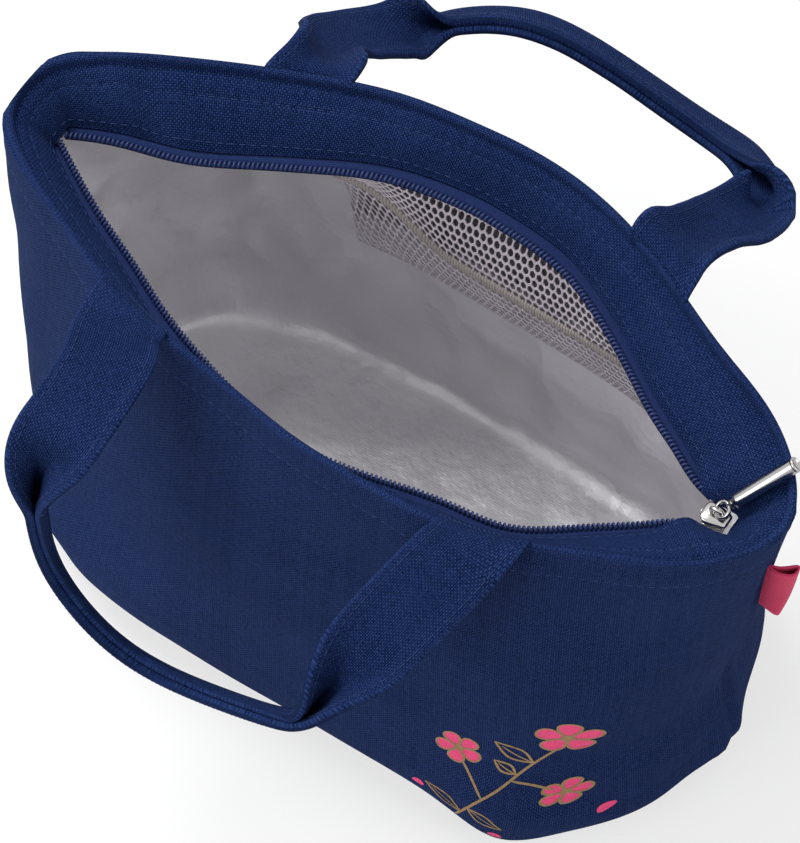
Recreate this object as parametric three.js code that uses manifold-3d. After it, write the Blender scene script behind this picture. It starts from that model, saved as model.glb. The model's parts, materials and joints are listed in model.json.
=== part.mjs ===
// Insulated lunch bag: a canvas tote with a zipped mouth, two strap handles and a net pocket inside.
// Millimetres, +Z up. The origin is on the ground under the middle of the bag; the front faces -Y.
import * as THREE from 'three';
import { mergeVertices } from 'three/addons/utils/BufferGeometryUtils.js';
import Module from 'manifold-3d';

const wasm = await Module();
wasm.setup();

// Outer body
const BAG_HEIGHT = 184;
const RIM_HALF_LENGTH = 145;
const RIM_HALF_DEPTH = 63;
const RIM_ROUND_X = 1.65;
const RIM_ROUND_Y = 1.85;
const BELLY_HEIGHT = 32;
const BELLY_HALF_LENGTH = 136;
const BELLY_HALF_DEPTH = 78;
const BASE_HALF_LENGTH = 122;
const BASE_HALF_DEPTH = 62;
const BASE_ROUND = 2.8;
const BASE_SHIFT = 3.5;
const SIDE_PINCH = 4;
const SEAM_Y = 2;
const SEAM_GAP = 0.3;

// Layers of the wall
const CANVAS = 1.2;
const FOAM = 3;
const LINING = 0.6;
const LAYER_GAP = 0.4;
const FOAM_DROP = 42;

// Zip and the facing band that carries it
const ZIP_LEFT_INSET = 13;
const ZIP_RIGHT_INSET = 17;
const ZIP_HALF_DEPTH = 51;
const ZIP_FULLNESS = 1.6;
const ZIP_DROP = 20;
const COIL_WIDTH = 2.6;
const COIL_HEIGHT = 2.4;
const TAPE_WIDTH = 8;
const TAPE_THICKNESS = 0.8;
const TAPE_SHOWN = 3.6;
const FIT_GAP = 0.3;
const STOP_LENGTH = 2;

// Slider and its pull
const SLIDER_LENGTH = 11;
const SLIDER_MOUTH_WIDTH = 11;
const SLIDER_TAIL_WIDTH = 7.4;
const SLIDER_PLATE = 1.4;
const SLIDER_CHAMFER = 1.5;
const SLIDER_POST_LENGTH = 2.8;
const SLIDER_POST_WIDTH = 2.4;
const SLIDER_ROOM = 0.8;
const BRIDGE_LENGTH = 4.4;
const BRIDGE_HEIGHT = 3.2;
const BRIDGE_WIDTH = 0.7;
const BRIDGE_BAR = 0.9;
const BRIDGE_POST = 0.6;
const LINK_RADIUS = 3.2;
const LINK_WIRE = 0.45;
const PULL_LENGTH = 26;
const PULL_RADIUS = 2.5;
const PULL_NECK_RADIUS = 1.7;
const PULL_NECK_LENGTH = 2;
const PULL_LIP = 0.3;
const PULL_LIP_LENGTH = 2.4;
const PULL_EDGE = 0.6;
const PULL_YAW = 47;
const PULL_LIFT = 44;

// Handles
const STRAP_WIDTH = 28;
const STRAP_THICKNESS = 2.4;
const GRIP_WIDTH = 15;
const GRIP_THICKNESS = 5;
const GRIP_LEAD = 5;
const HANDLE_SPAN = 130;

// Net pocket on the back lining
const POCKET_LEFT = -54;
const POCKET_RIGHT = 72;
const POCKET_DROP = 7;
const UPPER_NET_HEIGHT = 29;
const LOWER_NET_HEIGHT = 38;
const POCKET_ROOM = 9;
const POCKET_FULLNESS = 0.6;
const POCKET_SEAT = 0.9;
const NET_THICKNESS = 0.8;
const NET_STRAND = 1.3;
const NET_PITCH = 8.4;
const BINDING_WIDTH = 6;
const BINDING_THICKNESS = 1.4;

// Side tag
const TAG_HEIGHT = 32;
const TAG_REACH = 13;
const TAG_DROP = 34;
const TAG_SWELL = 1.6;
const TAG_ROOT_SHARE = 0.4;
const TAG_RIBBON = 0.7;

// Facets
const AROUND = 40;
const BASE_STEPS = [0, 30, 60];
const WALL_STEPS = [0, 0.2, 0.4, 0.6, 0.8, 1];
const FLARE_STEPS = [0, 0.34, 0.67, 1];
const NEAR_STEP = 0.06;
const ROW_STEPS = 18;

const zipLevel = BAG_HEIGHT - ZIP_DROP;
const foamTop = zipLevel - FOAM_DROP;
const zipLeft = ZIP_LEFT_INSET - RIM_HALF_LENGTH;
const zipRight = RIM_HALF_LENGTH - ZIP_RIGHT_INSET;
const zipCentreX = (zipLeft + zipRight) / 2;
const zipHalfLength = (zipRight - zipLeft) / 2;

const material = {
  canvas: () => new THREE.MeshStandardMaterial({ color: 0x1f2c5c, roughness: 0.92, metalness: 0 }),
  foam: () => new THREE.MeshStandardMaterial({ color: 0xe9e9e6, roughness: 0.9, metalness: 0 }),
  lining: () => new THREE.MeshStandardMaterial({ color: 0xb9bbc0, roughness: 0.38, metalness: 0.35 }),
  zip: () => new THREE.MeshStandardMaterial({ color: 0x1b2650, roughness: 0.6, metalness: 0 }),
  chrome: () => new THREE.MeshStandardMaterial({ color: 0xd9d7d2, roughness: 0.15, metalness: 1 }),
  net: () => new THREE.MeshStandardMaterial({ color: 0xd8cfd4, roughness: 0.7, metalness: 0 }),
  binding: () => new THREE.MeshStandardMaterial({ color: 0xa79a94, roughness: 0.85, metalness: 0 }),
  tag: () => new THREE.MeshStandardMaterial({ color: 0xcf3f63, roughness: 0.75, metalness: 0 }),
};

const bag = new THREE.Group();

function addPart(name, geometry, finish, parent = bag) {
  const mesh = new THREE.Mesh(geometry, finish);
  mesh.name = name;
  parent.add(mesh);
  return mesh;
}

function mix(a, b, share) {
  return a + (b - a) * share;
}

// Closed meshes and booleans
function bareGeometry(geometry) {
  const bare = geometry.clone();
  bare.deleteAttribute('normal');
  bare.deleteAttribute('uv');
  return mergeVertices(bare, 1e-4);
}

function toSolid(geometry) {
  const bare = bareGeometry(geometry);
  const mesh = new wasm.Mesh({
    numProp: 3,
    vertProperties: new Float32Array(bare.attributes.position.array),
    triVerts: new Uint32Array(bare.index.array),
  });
  return new wasm.Manifold(mesh);
}

function toGeometry(solid) {
  const mesh = solid.getMesh();
  const geometry = new THREE.BufferGeometry();
  geometry.setAttribute('position', new THREE.BufferAttribute(new Float32Array(mesh.vertProperties), 3));
  geometry.setIndex(new THREE.BufferAttribute(new Uint32Array(mesh.triVerts), 1));
  geometry.computeVertexNormals();
  return geometry;
}

function facedOutwards(points, faces) {
  const corner = points.map((p) => new THREE.Vector3(...p));
  let volume = 0;
  for (const [a, b, c] of faces) {
    volume += corner[a].dot(new THREE.Vector3().crossVectors(corner[b], corner[c]));
  }
  const ordered = volume < 0 ? faces.map(([a, b, c]) => [a, c, b]) : faces;
  const geometry = new THREE.BufferGeometry();
  geometry.setAttribute('position', new THREE.Float32BufferAttribute(points.flat(), 3));
  geometry.setIndex(ordered.flat());
  geometry.computeVertexNormals();
  return geometry;
}

// Skins rings of points, each with the same count. A closed skin joins the last ring to the first;
// an open one gets a fan over its first and last ring. Rising and falling skins share their diagonals,
// so that two layers of one wall stay parallel.
function skin(rings, closed) {
  const count = rings[0].length;
  const points = rings.flat();
  const faces = [];
  const last = closed ? rings.length : rings.length - 1;
  for (let r = 0; r < last; r += 1) {
    const low = r * count;
    const high = ((r + 1) % rings.length) * count;
    const rising = points[high][2] >= points[low][2];
    for (let i = 0; i < count; i += 1) {
      const j = (i + 1) % count;
      if (rising) faces.push([low + i, low + j, high + j], [low + i, high + j, high + i]);
      else faces.push([low + i, low + j, high + i], [low + j, high + j, high + i]);
    }
  }
  if (!closed) {
    for (const [ring, flip] of [[0, true], [rings.length - 1, false]]) {
      const middle = points.length;
      const start = ring * count;
      points.push(averagePoint(rings[ring]));
      for (let i = 0; i < count; i += 1) {
        const j = (i + 1) % count;
        faces.push(flip ? [middle, start + j, start + i] : [middle, start + i, start + j]);
      }
    }
  }
  return facedOutwards(points, faces);
}

function averagePoint(ring) {
  const sum = ring.reduce((total, p) => total.map((value, k) => value + p[k]), [0, 0, 0]);
  return sum.map((value) => value / ring.length);
}

function keepSide(geometry, side, seamY) {
  const reach = 4 * RIM_HALF_LENGTH;
  const cutter = new THREE.BoxGeometry(reach, reach, reach);
  cutter.translate(0, seamY - side * (reach / 2 - SEAM_GAP / 2), BAG_HEIGHT / 2);
  return toGeometry(toSolid(geometry).subtract(toSolid(cutter)));
}

// Level outlines of the bag
function outline(section) {
  const ring = [];
  for (let i = 0; i < AROUND; i += 1) {
    const turn = (2 * Math.PI * i) / AROUND;
    const c = Math.cos(turn);
    const s = Math.sin(turn);
    const x = section.halfLength * Math.sign(c) * Math.abs(c) ** (2 / section.roundX);
    const y = section.halfDepth * Math.sign(s) * Math.abs(s) ** (2 / section.roundY);
    ring.push([section.centreX + x, y, section.z]);
  }
  return ring;
}

function baseSection(degrees, inset) {
  const angle = THREE.MathUtils.degToRad(degrees);
  return {
    z: inset + (BELLY_HEIGHT - inset) * (1 - Math.cos(angle)),
    halfLength: mix(BASE_HALF_LENGTH, BELLY_HALF_LENGTH, Math.sin(angle)) - inset,
    halfDepth: mix(BASE_HALF_DEPTH, BELLY_HALF_DEPTH, Math.sin(angle)) - inset,
    roundX: BASE_ROUND,
    roundY: BASE_ROUND,
    centreX: BASE_SHIFT,
  };
}

function wallSection(share, inset) {
  return {
    z: mix(BELLY_HEIGHT, BAG_HEIGHT, share),
    halfLength: mix(BELLY_HALF_LENGTH, RIM_HALF_LENGTH, share) - 4 * SIDE_PINCH * share * (1 - share) - inset,
    halfDepth: mix(BELLY_HALF_DEPTH, RIM_HALF_DEPTH, share) - inset,
    roundX: mix(BASE_ROUND, RIM_ROUND_X, share),
    roundY: mix(BASE_ROUND, RIM_ROUND_Y, share),
    centreX: mix(BASE_SHIFT, 0, share),
  };
}

function wallShare(z) {
  return (z - BELLY_HEIGHT) / (BAG_HEIGHT - BELLY_HEIGHT);
}

function zipSection(z, outset) {
  return {
    z,
    halfLength: zipHalfLength + outset,
    halfDepth: ZIP_HALF_DEPTH + outset,
    roundX: ZIP_FULLNESS,
    roundY: 1,
    centreX: zipCentreX,
  };
}

function mixSections(a, b, share) {
  const section = {};
  for (const key of Object.keys(a)) section[key] = mix(a[key], b[key], share);
  return section;
}

function cup(sectionsAt, thickness, inset) {
  const outer = sectionsAt(inset).map(outline);
  const inner = sectionsAt(inset + thickness).map(outline);
  return skin([...outer, ...inner.reverse()], false);
}

// Canvas outside, foam inside it; both have a ring at the foam's top edge
const foamTopShare = wallShare(foamTop);
const farSteps = WALL_STEPS.filter((share) => Math.abs(share - foamTopShare) > NEAR_STEP);
const wallSteps = [...farSteps, foamTopShare].sort((a, b) => a - b);

function canvasSections(inset) {
  const base = BASE_STEPS.map((degrees) => baseSection(degrees, inset));
  return [...base, ...wallSteps.map((share) => wallSection(share, inset))];
}

function foamSections(inset) {
  const base = BASE_STEPS.map((degrees) => baseSection(degrees, inset));
  const low = wallSteps.filter((share) => share <= foamTopShare);
  return [...base, ...low.map((share) => wallSection(share, inset))];
}

const foamInset = CANVAS + LAYER_GAP;
const liningInset = foamInset + FOAM + LAYER_GAP;
const tapeLow = zipLevel - TAPE_THICKNESS / 2;
const tapeHigh = zipLevel + TAPE_THICKNESS / 2;
const liningTop = tapeLow - FIT_GAP;
const liningReach = COIL_WIDTH / 2 + FIT_GAP + TAPE_WIDTH / 2;

// The lining leaves the foam at its top edge and draws in to the zip
function liningSection(z, inset) {
  const flare = Math.max(0, (z - foamTop) / (liningTop - foamTop));
  const wall = wallSection(wallShare(Math.min(z, foamTop)), inset);
  const zip = zipSection(liningTop, liningReach + LINING - (inset - liningInset));
  const section = mixSections(wall, zip, flare);
  section.z = z;
  return section;
}

function liningSections(inset) {
  const base = BASE_STEPS.map((degrees) => baseSection(degrees, inset));
  const low = wallSteps.filter((share) => share < foamTopShare);
  const flare = FLARE_STEPS.map((share) => mix(foamTop, liningTop, share));
  return [
    ...base,
    ...low.map((share) => wallSection(share, inset)),
    ...flare.map((z) => liningSection(z, inset)),
  ];
}

for (const [side, word] of [[-1, 'front'], [1, 'back']]) {
  const canvas = cup(canvasSections, CANVAS, 0);
  const foam = cup(foamSections, FOAM, foamInset);
  const lining = cup(liningSections, LINING, liningInset);
  addPart(`outer_${word}_panel`, keepSide(canvas, side, SEAM_Y), material.canvas());
  addPart(`insulation_${word}`, keepSide(foam, side, 0), material.foam());
  addPart(`lining_${word}`, keepSide(lining, side, 0), material.lining());
}

// Facing: the canvas band from the rim down to the zip tape
const facingLow = tapeHigh + FIT_GAP;
const facingReach = COIL_WIDTH / 2 + FIT_GAP + TAPE_SHOWN;

function facingBand() {
  const rim = (inset) => outline(wallSection(1, CANVAS + LAYER_GAP + inset));
  const edge = (outset) => outline(zipSection(facingLow, facingReach + outset));
  return skin([rim(0), edge(CANVAS), edge(0), rim(CANVAS)], true);
}

for (const [side, word] of [[-1, 'front'], [1, 'back']]) {
  addPart(`facing_${word}`, keepSide(facingBand(), side, 0), material.canvas());
}

// Zip rows: each follows the open mouth from the left end to the slider
function rowDepth(x) {
  const share = Math.abs((x - zipCentreX) / zipHalfLength);
  return ZIP_HALF_DEPTH * (1 - share ** ZIP_FULLNESS);
}

// The slider's tail stops where the facing's two edges leave it room
const tailShare = (SLIDER_TAIL_WIDTH / 2 + SLIDER_ROOM) / (ZIP_HALF_DEPTH + facingReach);
const tailX = zipCentreX + (zipHalfLength + facingReach) * (1 - tailShare) ** (1 / ZIP_FULLNESS);
const sliderX = tailX - SLIDER_LENGTH / 2;
const rowEnd = tailX - SLIDER_LENGTH - FIT_GAP;
const rowStart = zipLeft + STOP_LENGTH + COIL_WIDTH / 2 + FIT_GAP;

function rowEdge(offset) {
  const edge = [];
  const step = 0.5;
  for (let i = 0; i <= ROW_STEPS; i += 1) {
    const swing = (1 - Math.cos((Math.PI * i) / ROW_STEPS)) / 2;
    const x = mix(rowStart, rowEnd, swing);
    const slope = (rowDepth(x + step) - rowDepth(x - step)) / (2 * step);
    const size = Math.hypot(1, slope);
    edge.push([x - (offset * slope) / size, Math.max(rowDepth(x) + offset / size, SEAM_GAP)]);
  }
  return edge;
}

function rowStrip(side, from, to, low, high) {
  const loop = [...rowEdge(from), ...rowEdge(to).reverse()];
  const shape = new THREE.Shape(loop.map(([x, y]) => new THREE.Vector2(x, side * y)));
  const strip = new THREE.ExtrudeGeometry(shape, { depth: high - low, bevelEnabled: false });
  strip.translate(0, 0, low);
  return bareGeometry(strip);
}

const coilLow = zipLevel - COIL_HEIGHT / 2;
const coilHigh = zipLevel + COIL_HEIGHT / 2;
const tapeStart = COIL_WIDTH / 2 + FIT_GAP;

for (const [side, word] of [[-1, 'front'], [1, 'back']]) {
  const coil = rowStrip(side, -COIL_WIDTH / 2, COIL_WIDTH / 2, coilLow, coilHigh);
  const tape = rowStrip(side, tapeStart, tapeStart + TAPE_WIDTH, tapeLow, tapeHigh);
  addPart(`zip_tape_${word}`, tape, material.zip());
  addPart(`zip_coil_${word}`, coil, material.zip());
  const stop = new THREE.BoxGeometry(STOP_LENGTH, COIL_WIDTH, COIL_HEIGHT);
  stop.translate(zipLeft + STOP_LENGTH / 2, side * (COIL_WIDTH / 2 + SEAM_GAP), zipLevel);
  addPart(`zip_top_stop_${word}`, stop, material.chrome());
}

const bottomStop = new THREE.BoxGeometry(STOP_LENGTH, COIL_WIDTH, COIL_HEIGHT);
bottomStop.translate(tailX + FIT_GAP + STOP_LENGTH / 2, 0, zipLevel);
addPart('zip_bottom_stop', bottomStop, material.chrome());

// Slider: two plates joined by a post, with a bridge on top for the pull
function sliderPlate(low) {
  const half = SLIDER_LENGTH / 2;
  const mouth = SLIDER_MOUTH_WIDTH / 2;
  const tail = SLIDER_TAIL_WIDTH / 2;
  const shape = new THREE.Shape();
  shape.moveTo(-half, -mouth + SLIDER_CHAMFER);
  shape.lineTo(-half + SLIDER_CHAMFER, -mouth);
  shape.lineTo(0, -mouth);
  shape.lineTo(half, -tail);
  shape.lineTo(half, tail);
  shape.lineTo(0, mouth);
  shape.lineTo(-half + SLIDER_CHAMFER, mouth);
  shape.lineTo(-half, mouth - SLIDER_CHAMFER);
  const plate = new THREE.ExtrudeGeometry(shape, { depth: SLIDER_PLATE, bevelEnabled: false });
  plate.translate(0, 0, low);
  return plate;
}

function sliderBridge(low) {
  const half = BRIDGE_LENGTH / 2;
  const shape = new THREE.Shape();
  shape.moveTo(-half, 0);
  shape.lineTo(-half, BRIDGE_HEIGHT - BRIDGE_BAR);
  shape.lineTo(-half + BRIDGE_POST, BRIDGE_HEIGHT);
  shape.lineTo(half - BRIDGE_POST, BRIDGE_HEIGHT);
  shape.lineTo(half, BRIDGE_HEIGHT - BRIDGE_BAR);
  shape.lineTo(half, 0);
  shape.lineTo(half - BRIDGE_POST, 0);
  shape.lineTo(half - BRIDGE_POST, BRIDGE_HEIGHT - BRIDGE_BAR);
  shape.lineTo(-half + BRIDGE_POST, BRIDGE_HEIGHT - BRIDGE_BAR);
  shape.lineTo(-half + BRIDGE_POST, 0);
  const bridge = new THREE.ExtrudeGeometry(shape, { depth: BRIDGE_WIDTH, bevelEnabled: false });
  bridge.rotateX(Math.PI / 2);
  bridge.translate(0, BRIDGE_WIDTH / 2, low);
  return bridge;
}

const plateSink = 0.2;
const topPlateLow = coilHigh + FIT_GAP;
const topPlateHigh = topPlateLow + SLIDER_PLATE;
const bottomPlateHigh = coilLow - FIT_GAP;

function sliderBody() {
  const postHeight = topPlateLow - bottomPlateHigh + 2 * plateSink;
  const post = new THREE.BoxGeometry(SLIDER_POST_LENGTH, SLIDER_POST_WIDTH, postHeight);
  post.translate((SLIDER_POST_LENGTH - SLIDER_LENGTH) / 2 + plateSink, 0, zipLevel);
  const body = toSolid(sliderPlate(topPlateLow))
    .add(toSolid(sliderPlate(bottomPlateHigh - SLIDER_PLATE)))
    .add(toSolid(post))
    .add(toSolid(sliderBridge(topPlateHigh - plateSink)));
  return toGeometry(body);
}

const slider = new THREE.Group();
slider.position.x = sliderX;
bag.add(slider);
addPart('zip_slider_body', sliderBody(), material.chrome(), slider);

// Pull: a ring through the bridge and a round bar, leaning on the rim behind the slider
const pull = new THREE.Group();
pull.position.z = topPlateHigh - plateSink + (BRIDGE_HEIGHT - BRIDGE_BAR) / 2 + plateSink / 2;
pull.rotation.z = THREE.MathUtils.degToRad(PULL_YAW);
slider.add(pull);
const lever = new THREE.Group();
lever.rotation.y = -THREE.MathUtils.degToRad(PULL_LIFT);
pull.add(lever);

const link = new THREE.TorusGeometry(LINK_RADIUS, LINK_WIRE, 8, 16);
link.translate(LINK_RADIUS, 0, 0);
addPart('zip_pull_link', bareGeometry(link), material.chrome(), lever);

function pullBar() {
  const lip = PULL_RADIUS + PULL_LIP;
  const lipStart = PULL_LENGTH - PULL_LIP_LENGTH;
  const profile = [
    [0, 0],
    [PULL_NECK_RADIUS, 0],
    [PULL_RADIUS, PULL_NECK_LENGTH],
    [PULL_RADIUS, lipStart - PULL_EDGE],
    [lip, lipStart],
    [lip, PULL_LENGTH - PULL_EDGE],
    [lip - PULL_EDGE, PULL_LENGTH],
    [0, PULL_LENGTH],
  ];
  const bar = new THREE.LatheGeometry(profile.map(([r, h]) => new THREE.Vector2(r, h)), 16);
  bar.rotateZ(-Math.PI / 2);
  bar.translate(2 * LINK_RADIUS + LINK_WIRE + FIT_GAP, 0, 0);
  return bareGeometry(bar);
}

addPart('zip_pull_bar', pullBar(), material.chrome(), lever);

// Straps: a ribbon of given width and thickness along a smooth route
function smoothRoute(route) {
  return new THREE.CatmullRomCurve3(route, false, 'centripetal');
}

function ribbon(route, width, thickness, across) {
  const curve = smoothRoute(route);
  const steps = (route.length - 1) * 2;
  const rings = [];
  for (let i = 0; i <= steps; i += 1) {
    const centre = curve.getPoint(i / steps);
    const ahead = curve.getTangent(i / steps);
    const normal = new THREE.Vector3().crossVectors(ahead, across(ahead)).normalize();
    const side = new THREE.Vector3().crossVectors(normal, ahead).normalize();
    const corner = (w, t) => centre.clone().addScaledVector(side, w).addScaledVector(normal, t).toArray();
    const w = width / 2;
    const t = thickness / 2;
    rings.push([corner(-w, -t), corner(w, -t), corner(w, t), corner(-w, t)]);
  }
  return skin(rings, false);
}

function rimDepth(x) {
  const share = Math.abs(x / RIM_HALF_LENGTH) ** RIM_ROUND_X;
  return RIM_HALF_DEPTH * (1 - share) ** (1 / RIM_ROUND_Y);
}

// A route's points are along the bag, out from the rim and up from it. Legs start on the rim;
// the grip's points count from the left leg's start. faces is the way the grip's flat side looks.
const handles = {
  front: {
    side: -1,
    left: [[0, 0, 0], [0, 8, 2], [3, 20, 8], [2, 36, 8], [0, 48, 3], [-1.5, 53, -6]],
    right: [[0, 0, 0], [0, 8, 2], [-6, 25, -13], [-12, 42, -30], [-16, 56, -41], [-18.5, 61, -50]],
    grip: [[0, 58, -40], [10, 61, -66], [33, 64, -76], [72, 64, -68], [101, 64, -60]],
    faces: [0, -1, 0.15],
  },
  back: {
    side: 1,
    left: [[0, 0, 0], [0, 8, 2], [-8, 23, -11], [-8, 40, -25], [0, 55, -37], [5, 61, -40]],
    right: [[0, 0, 0], [0, 8, 2], [3, 21, -4], [6, 39, -14], [8, 54, -24], [6, 62, -29]],
    grip: [[25, 73, -43], [45, 82, -50], [75, 85, -51], [101, 82, -48], [122, 75, -38]],
    faces: [0, 0.55, 0.83],
  },
};

// The point a little beyond a leg's end, where the folded grip takes over
function beyondEnd(leg, distance) {
  return leg.at(-1).clone().addScaledVector(smoothRoute(leg).getTangent(1), distance);
}

const alongBag = () => new THREE.Vector3(1, 0, 0);
const rootHeight = BAG_HEIGHT + FIT_GAP + STRAP_THICKNESS / 2;

for (const [word, handle] of Object.entries(handles)) {
  const rootY = handle.side * rimDepth(HANDLE_SPAN / 2);
  const place = (startX) => ([along, out, up]) =>
    new THREE.Vector3(startX + along, rootY + handle.side * out, rootHeight + up);
  const left = handle.left.map(place(-HANDLE_SPAN / 2));
  const right = handle.right.map(place(HANDLE_SPAN / 2));
  const grip = [
    beyondEnd(left, FIT_GAP),
    beyondEnd(left, GRIP_LEAD),
    ...handle.grip.map(place(-HANDLE_SPAN / 2)),
    beyondEnd(right, GRIP_LEAD),
    beyondEnd(right, FIT_GAP),
  ];
  const faces = new THREE.Vector3(...handle.faces);
  const gripAcross = (ahead) => new THREE.Vector3().crossVectors(faces, ahead);
  addPart(`${word}_handle_left_leg`, ribbon(left, STRAP_WIDTH, STRAP_THICKNESS, alongBag), material.canvas());
  addPart(`${word}_handle_right_leg`, ribbon(right, STRAP_WIDTH, STRAP_THICKNESS, alongBag), material.canvas());
  addPart(`${word}_handle_grip`, ribbon(grip, GRIP_WIDTH, GRIP_THICKNESS, gripAcross), material.canvas());
}

// Net pocket: it lies on the back lining at its edges and stands off it in the middle
function liningDepth(x, z) {
  const section = liningSection(z, liningInset + LINING);
  const share = Math.min(1, Math.abs((x - section.centreX) / section.halfLength));
  return section.halfDepth * (1 - share ** section.roundX) ** (1 / section.roundY);
}

const pocketTop = liningTop - POCKET_DROP;
const pocketMouth = pocketTop - UPPER_NET_HEIGHT;
const bindingLow = pocketMouth - BINDING_WIDTH;
const pocketBottom = bindingLow - FIT_GAP - LOWER_NET_HEIGHT;

function bump(share) {
  return Math.sin(Math.PI * Math.min(1, Math.max(0, share))) ** POCKET_FULLNESS;
}

function pocketDepth(x, z) {
  const alongX = bump((x - POCKET_LEFT) / (POCKET_RIGHT - POCKET_LEFT));
  const alongZ = bump((z - pocketBottom) / (pocketTop - pocketBottom));
  return liningDepth(x, z) - POCKET_SEAT - POCKET_ROOM * alongX * alongZ;
}

function bendOntoPocket(geometry) {
  const bent = bareGeometry(geometry);
  const place = bent.attributes.position;
  for (let i = 0; i < place.count; i += 1) {
    const x = place.getX(i);
    const z = place.getY(i);
    place.setXYZ(i, x, pocketDepth(x, z) - place.getZ(i), z);
  }
  bent.computeVertexNormals();
  return bent;
}

function pocketSheet(low, high, holes) {
  const shape = new THREE.Shape();
  const steps = Math.round((POCKET_RIGHT - POCKET_LEFT) / NET_PITCH);
  const x = (i) => mix(POCKET_LEFT, POCKET_RIGHT, i / steps);
  shape.moveTo(x(0), low);
  for (let i = 1; i <= steps; i += 1) shape.lineTo(x(i), low);
  for (let i = steps; i >= 0; i -= 1) shape.lineTo(x(i), high);
  if (holes) shape.holes.push(...netHoles(low, high));
  return shape;
}

function netHoles(low, high) {
  const across = Math.round((POCKET_RIGHT - POCKET_LEFT) / NET_PITCH);
  const pitchX = (POCKET_RIGHT - POCKET_LEFT) / across;
  const rows = Math.round((high - low) / (NET_PITCH / 2)) - 1;
  const pitchZ = (high - low) / (rows + 1);
  const holes = [];
  for (let row = 1; row <= rows; row += 1) {
    const odd = row % 2;
    for (let i = 0; i < across - (odd ? 0 : 1); i += 1) {
      const x = POCKET_LEFT + (i + (odd ? 0.5 : 1)) * pitchX;
      const z = low + row * pitchZ;
      const halfX = pitchX / 2 - NET_STRAND * Math.SQRT1_2;
      const halfZ = pitchZ - NET_STRAND * Math.SQRT1_2;
      const hole = new THREE.Path();
      hole.moveTo(x - halfX, z);
      hole.lineTo(x, z - halfZ);
      hole.lineTo(x + halfX, z);
      hole.lineTo(x, z + halfZ);
      holes.push(hole);
    }
  }
  return holes;
}

function pocketPiece(name, low, high, thickness, holes, finish) {
  const sheet = new THREE.ExtrudeGeometry(pocketSheet(low, high, holes), {
    depth: thickness,
    bevelEnabled: false,
  });
  addPart(name, bendOntoPocket(sheet), finish);
}

pocketPiece('pocket_upper_net', pocketMouth + FIT_GAP, pocketTop, NET_THICKNESS, true, material.net());
pocketPiece('pocket_binding', bindingLow, pocketMouth, BINDING_THICKNESS, false, material.binding());
pocketPiece('pocket_lower_net', pocketBottom, bindingLow - FIT_GAP, NET_THICKNESS, true, material.net());

// Side tag: a folded ribbon loop in the right side seam
function tagOutline(swell, from, to) {
  const steps = 8;
  const lower = [];
  for (let i = 0; i < steps; i += 1) {
    const share = i / steps;
    lower.push([mix(from, to, share), -swell * mix(TAG_ROOT_SHARE, 1, share) * Math.sqrt(1 - share ** 4)]);
  }
  const upper = lower.map(([x, y]) => [x, -y]).reverse();
  return [...lower, [to, 0], ...upper].map(([x, y]) => new THREE.Vector2(x, y));
}

function tagLoop() {
  const shape = new THREE.Shape(tagOutline(TAG_SWELL + TAG_RIBBON, 0, TAG_REACH));
  shape.holes.push(new THREE.Path(tagOutline(TAG_SWELL, TAG_RIBBON, TAG_REACH - TAG_RIBBON)));
  const loop = new THREE.ExtrudeGeometry(shape, { depth: TAG_HEIGHT, bevelEnabled: false });
  return bareGeometry(loop);
}

function wallReach(z) {
  const section = wallSection(wallShare(z), 0);
  return section.centreX + section.halfLength;
}

const tagSeat = new THREE.Group();
const tagTop = BAG_HEIGHT - TAG_DROP;
const tagBottom = tagTop - TAG_HEIGHT;
tagSeat.position.set(wallReach(tagBottom) + FIT_GAP, SEAM_Y, tagBottom);
tagSeat.rotation.y = Math.atan2(wallReach(tagTop) - wallReach(tagBottom), TAG_HEIGHT);
bag.add(tagSeat);
addPart('side_tag', tagLoop(), material.tag(), tagSeat);

export default bag;
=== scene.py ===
import json
import math

import bpy
import numpy as np
from mathutils import Matrix, Vector, noise


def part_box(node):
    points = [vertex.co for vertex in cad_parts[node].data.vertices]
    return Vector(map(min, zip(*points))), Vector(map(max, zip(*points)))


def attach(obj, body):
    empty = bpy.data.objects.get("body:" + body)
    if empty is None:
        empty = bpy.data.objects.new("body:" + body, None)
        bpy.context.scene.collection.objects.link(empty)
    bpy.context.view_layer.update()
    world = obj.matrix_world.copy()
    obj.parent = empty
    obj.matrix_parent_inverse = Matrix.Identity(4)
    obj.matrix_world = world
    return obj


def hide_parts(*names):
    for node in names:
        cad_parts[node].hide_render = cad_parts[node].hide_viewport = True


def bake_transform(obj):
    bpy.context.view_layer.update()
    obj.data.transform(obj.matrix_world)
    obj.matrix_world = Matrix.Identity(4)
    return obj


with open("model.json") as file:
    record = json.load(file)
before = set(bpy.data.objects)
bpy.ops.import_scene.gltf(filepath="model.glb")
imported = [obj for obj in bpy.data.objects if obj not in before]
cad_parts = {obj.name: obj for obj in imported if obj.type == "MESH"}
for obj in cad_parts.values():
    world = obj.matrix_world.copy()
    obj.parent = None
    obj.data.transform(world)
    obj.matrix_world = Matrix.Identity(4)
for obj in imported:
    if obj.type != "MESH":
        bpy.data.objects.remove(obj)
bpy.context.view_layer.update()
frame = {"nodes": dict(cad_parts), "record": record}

# Insulated lunch bag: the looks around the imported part. Lengths are millimetres until a mesh is made.
MM = 0.001
WORDS = {-1: "front", 1: "back"}


def corners(node):
    low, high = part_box(node)
    return np.array(low) / MM, np.array(high) / MM


def joint_place(name):
    joints = frame["record"]["behaviour"]["joints"]
    return next(np.array(joint["pos_m"]) / MM for joint in joints if joint["name"] == name)


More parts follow.
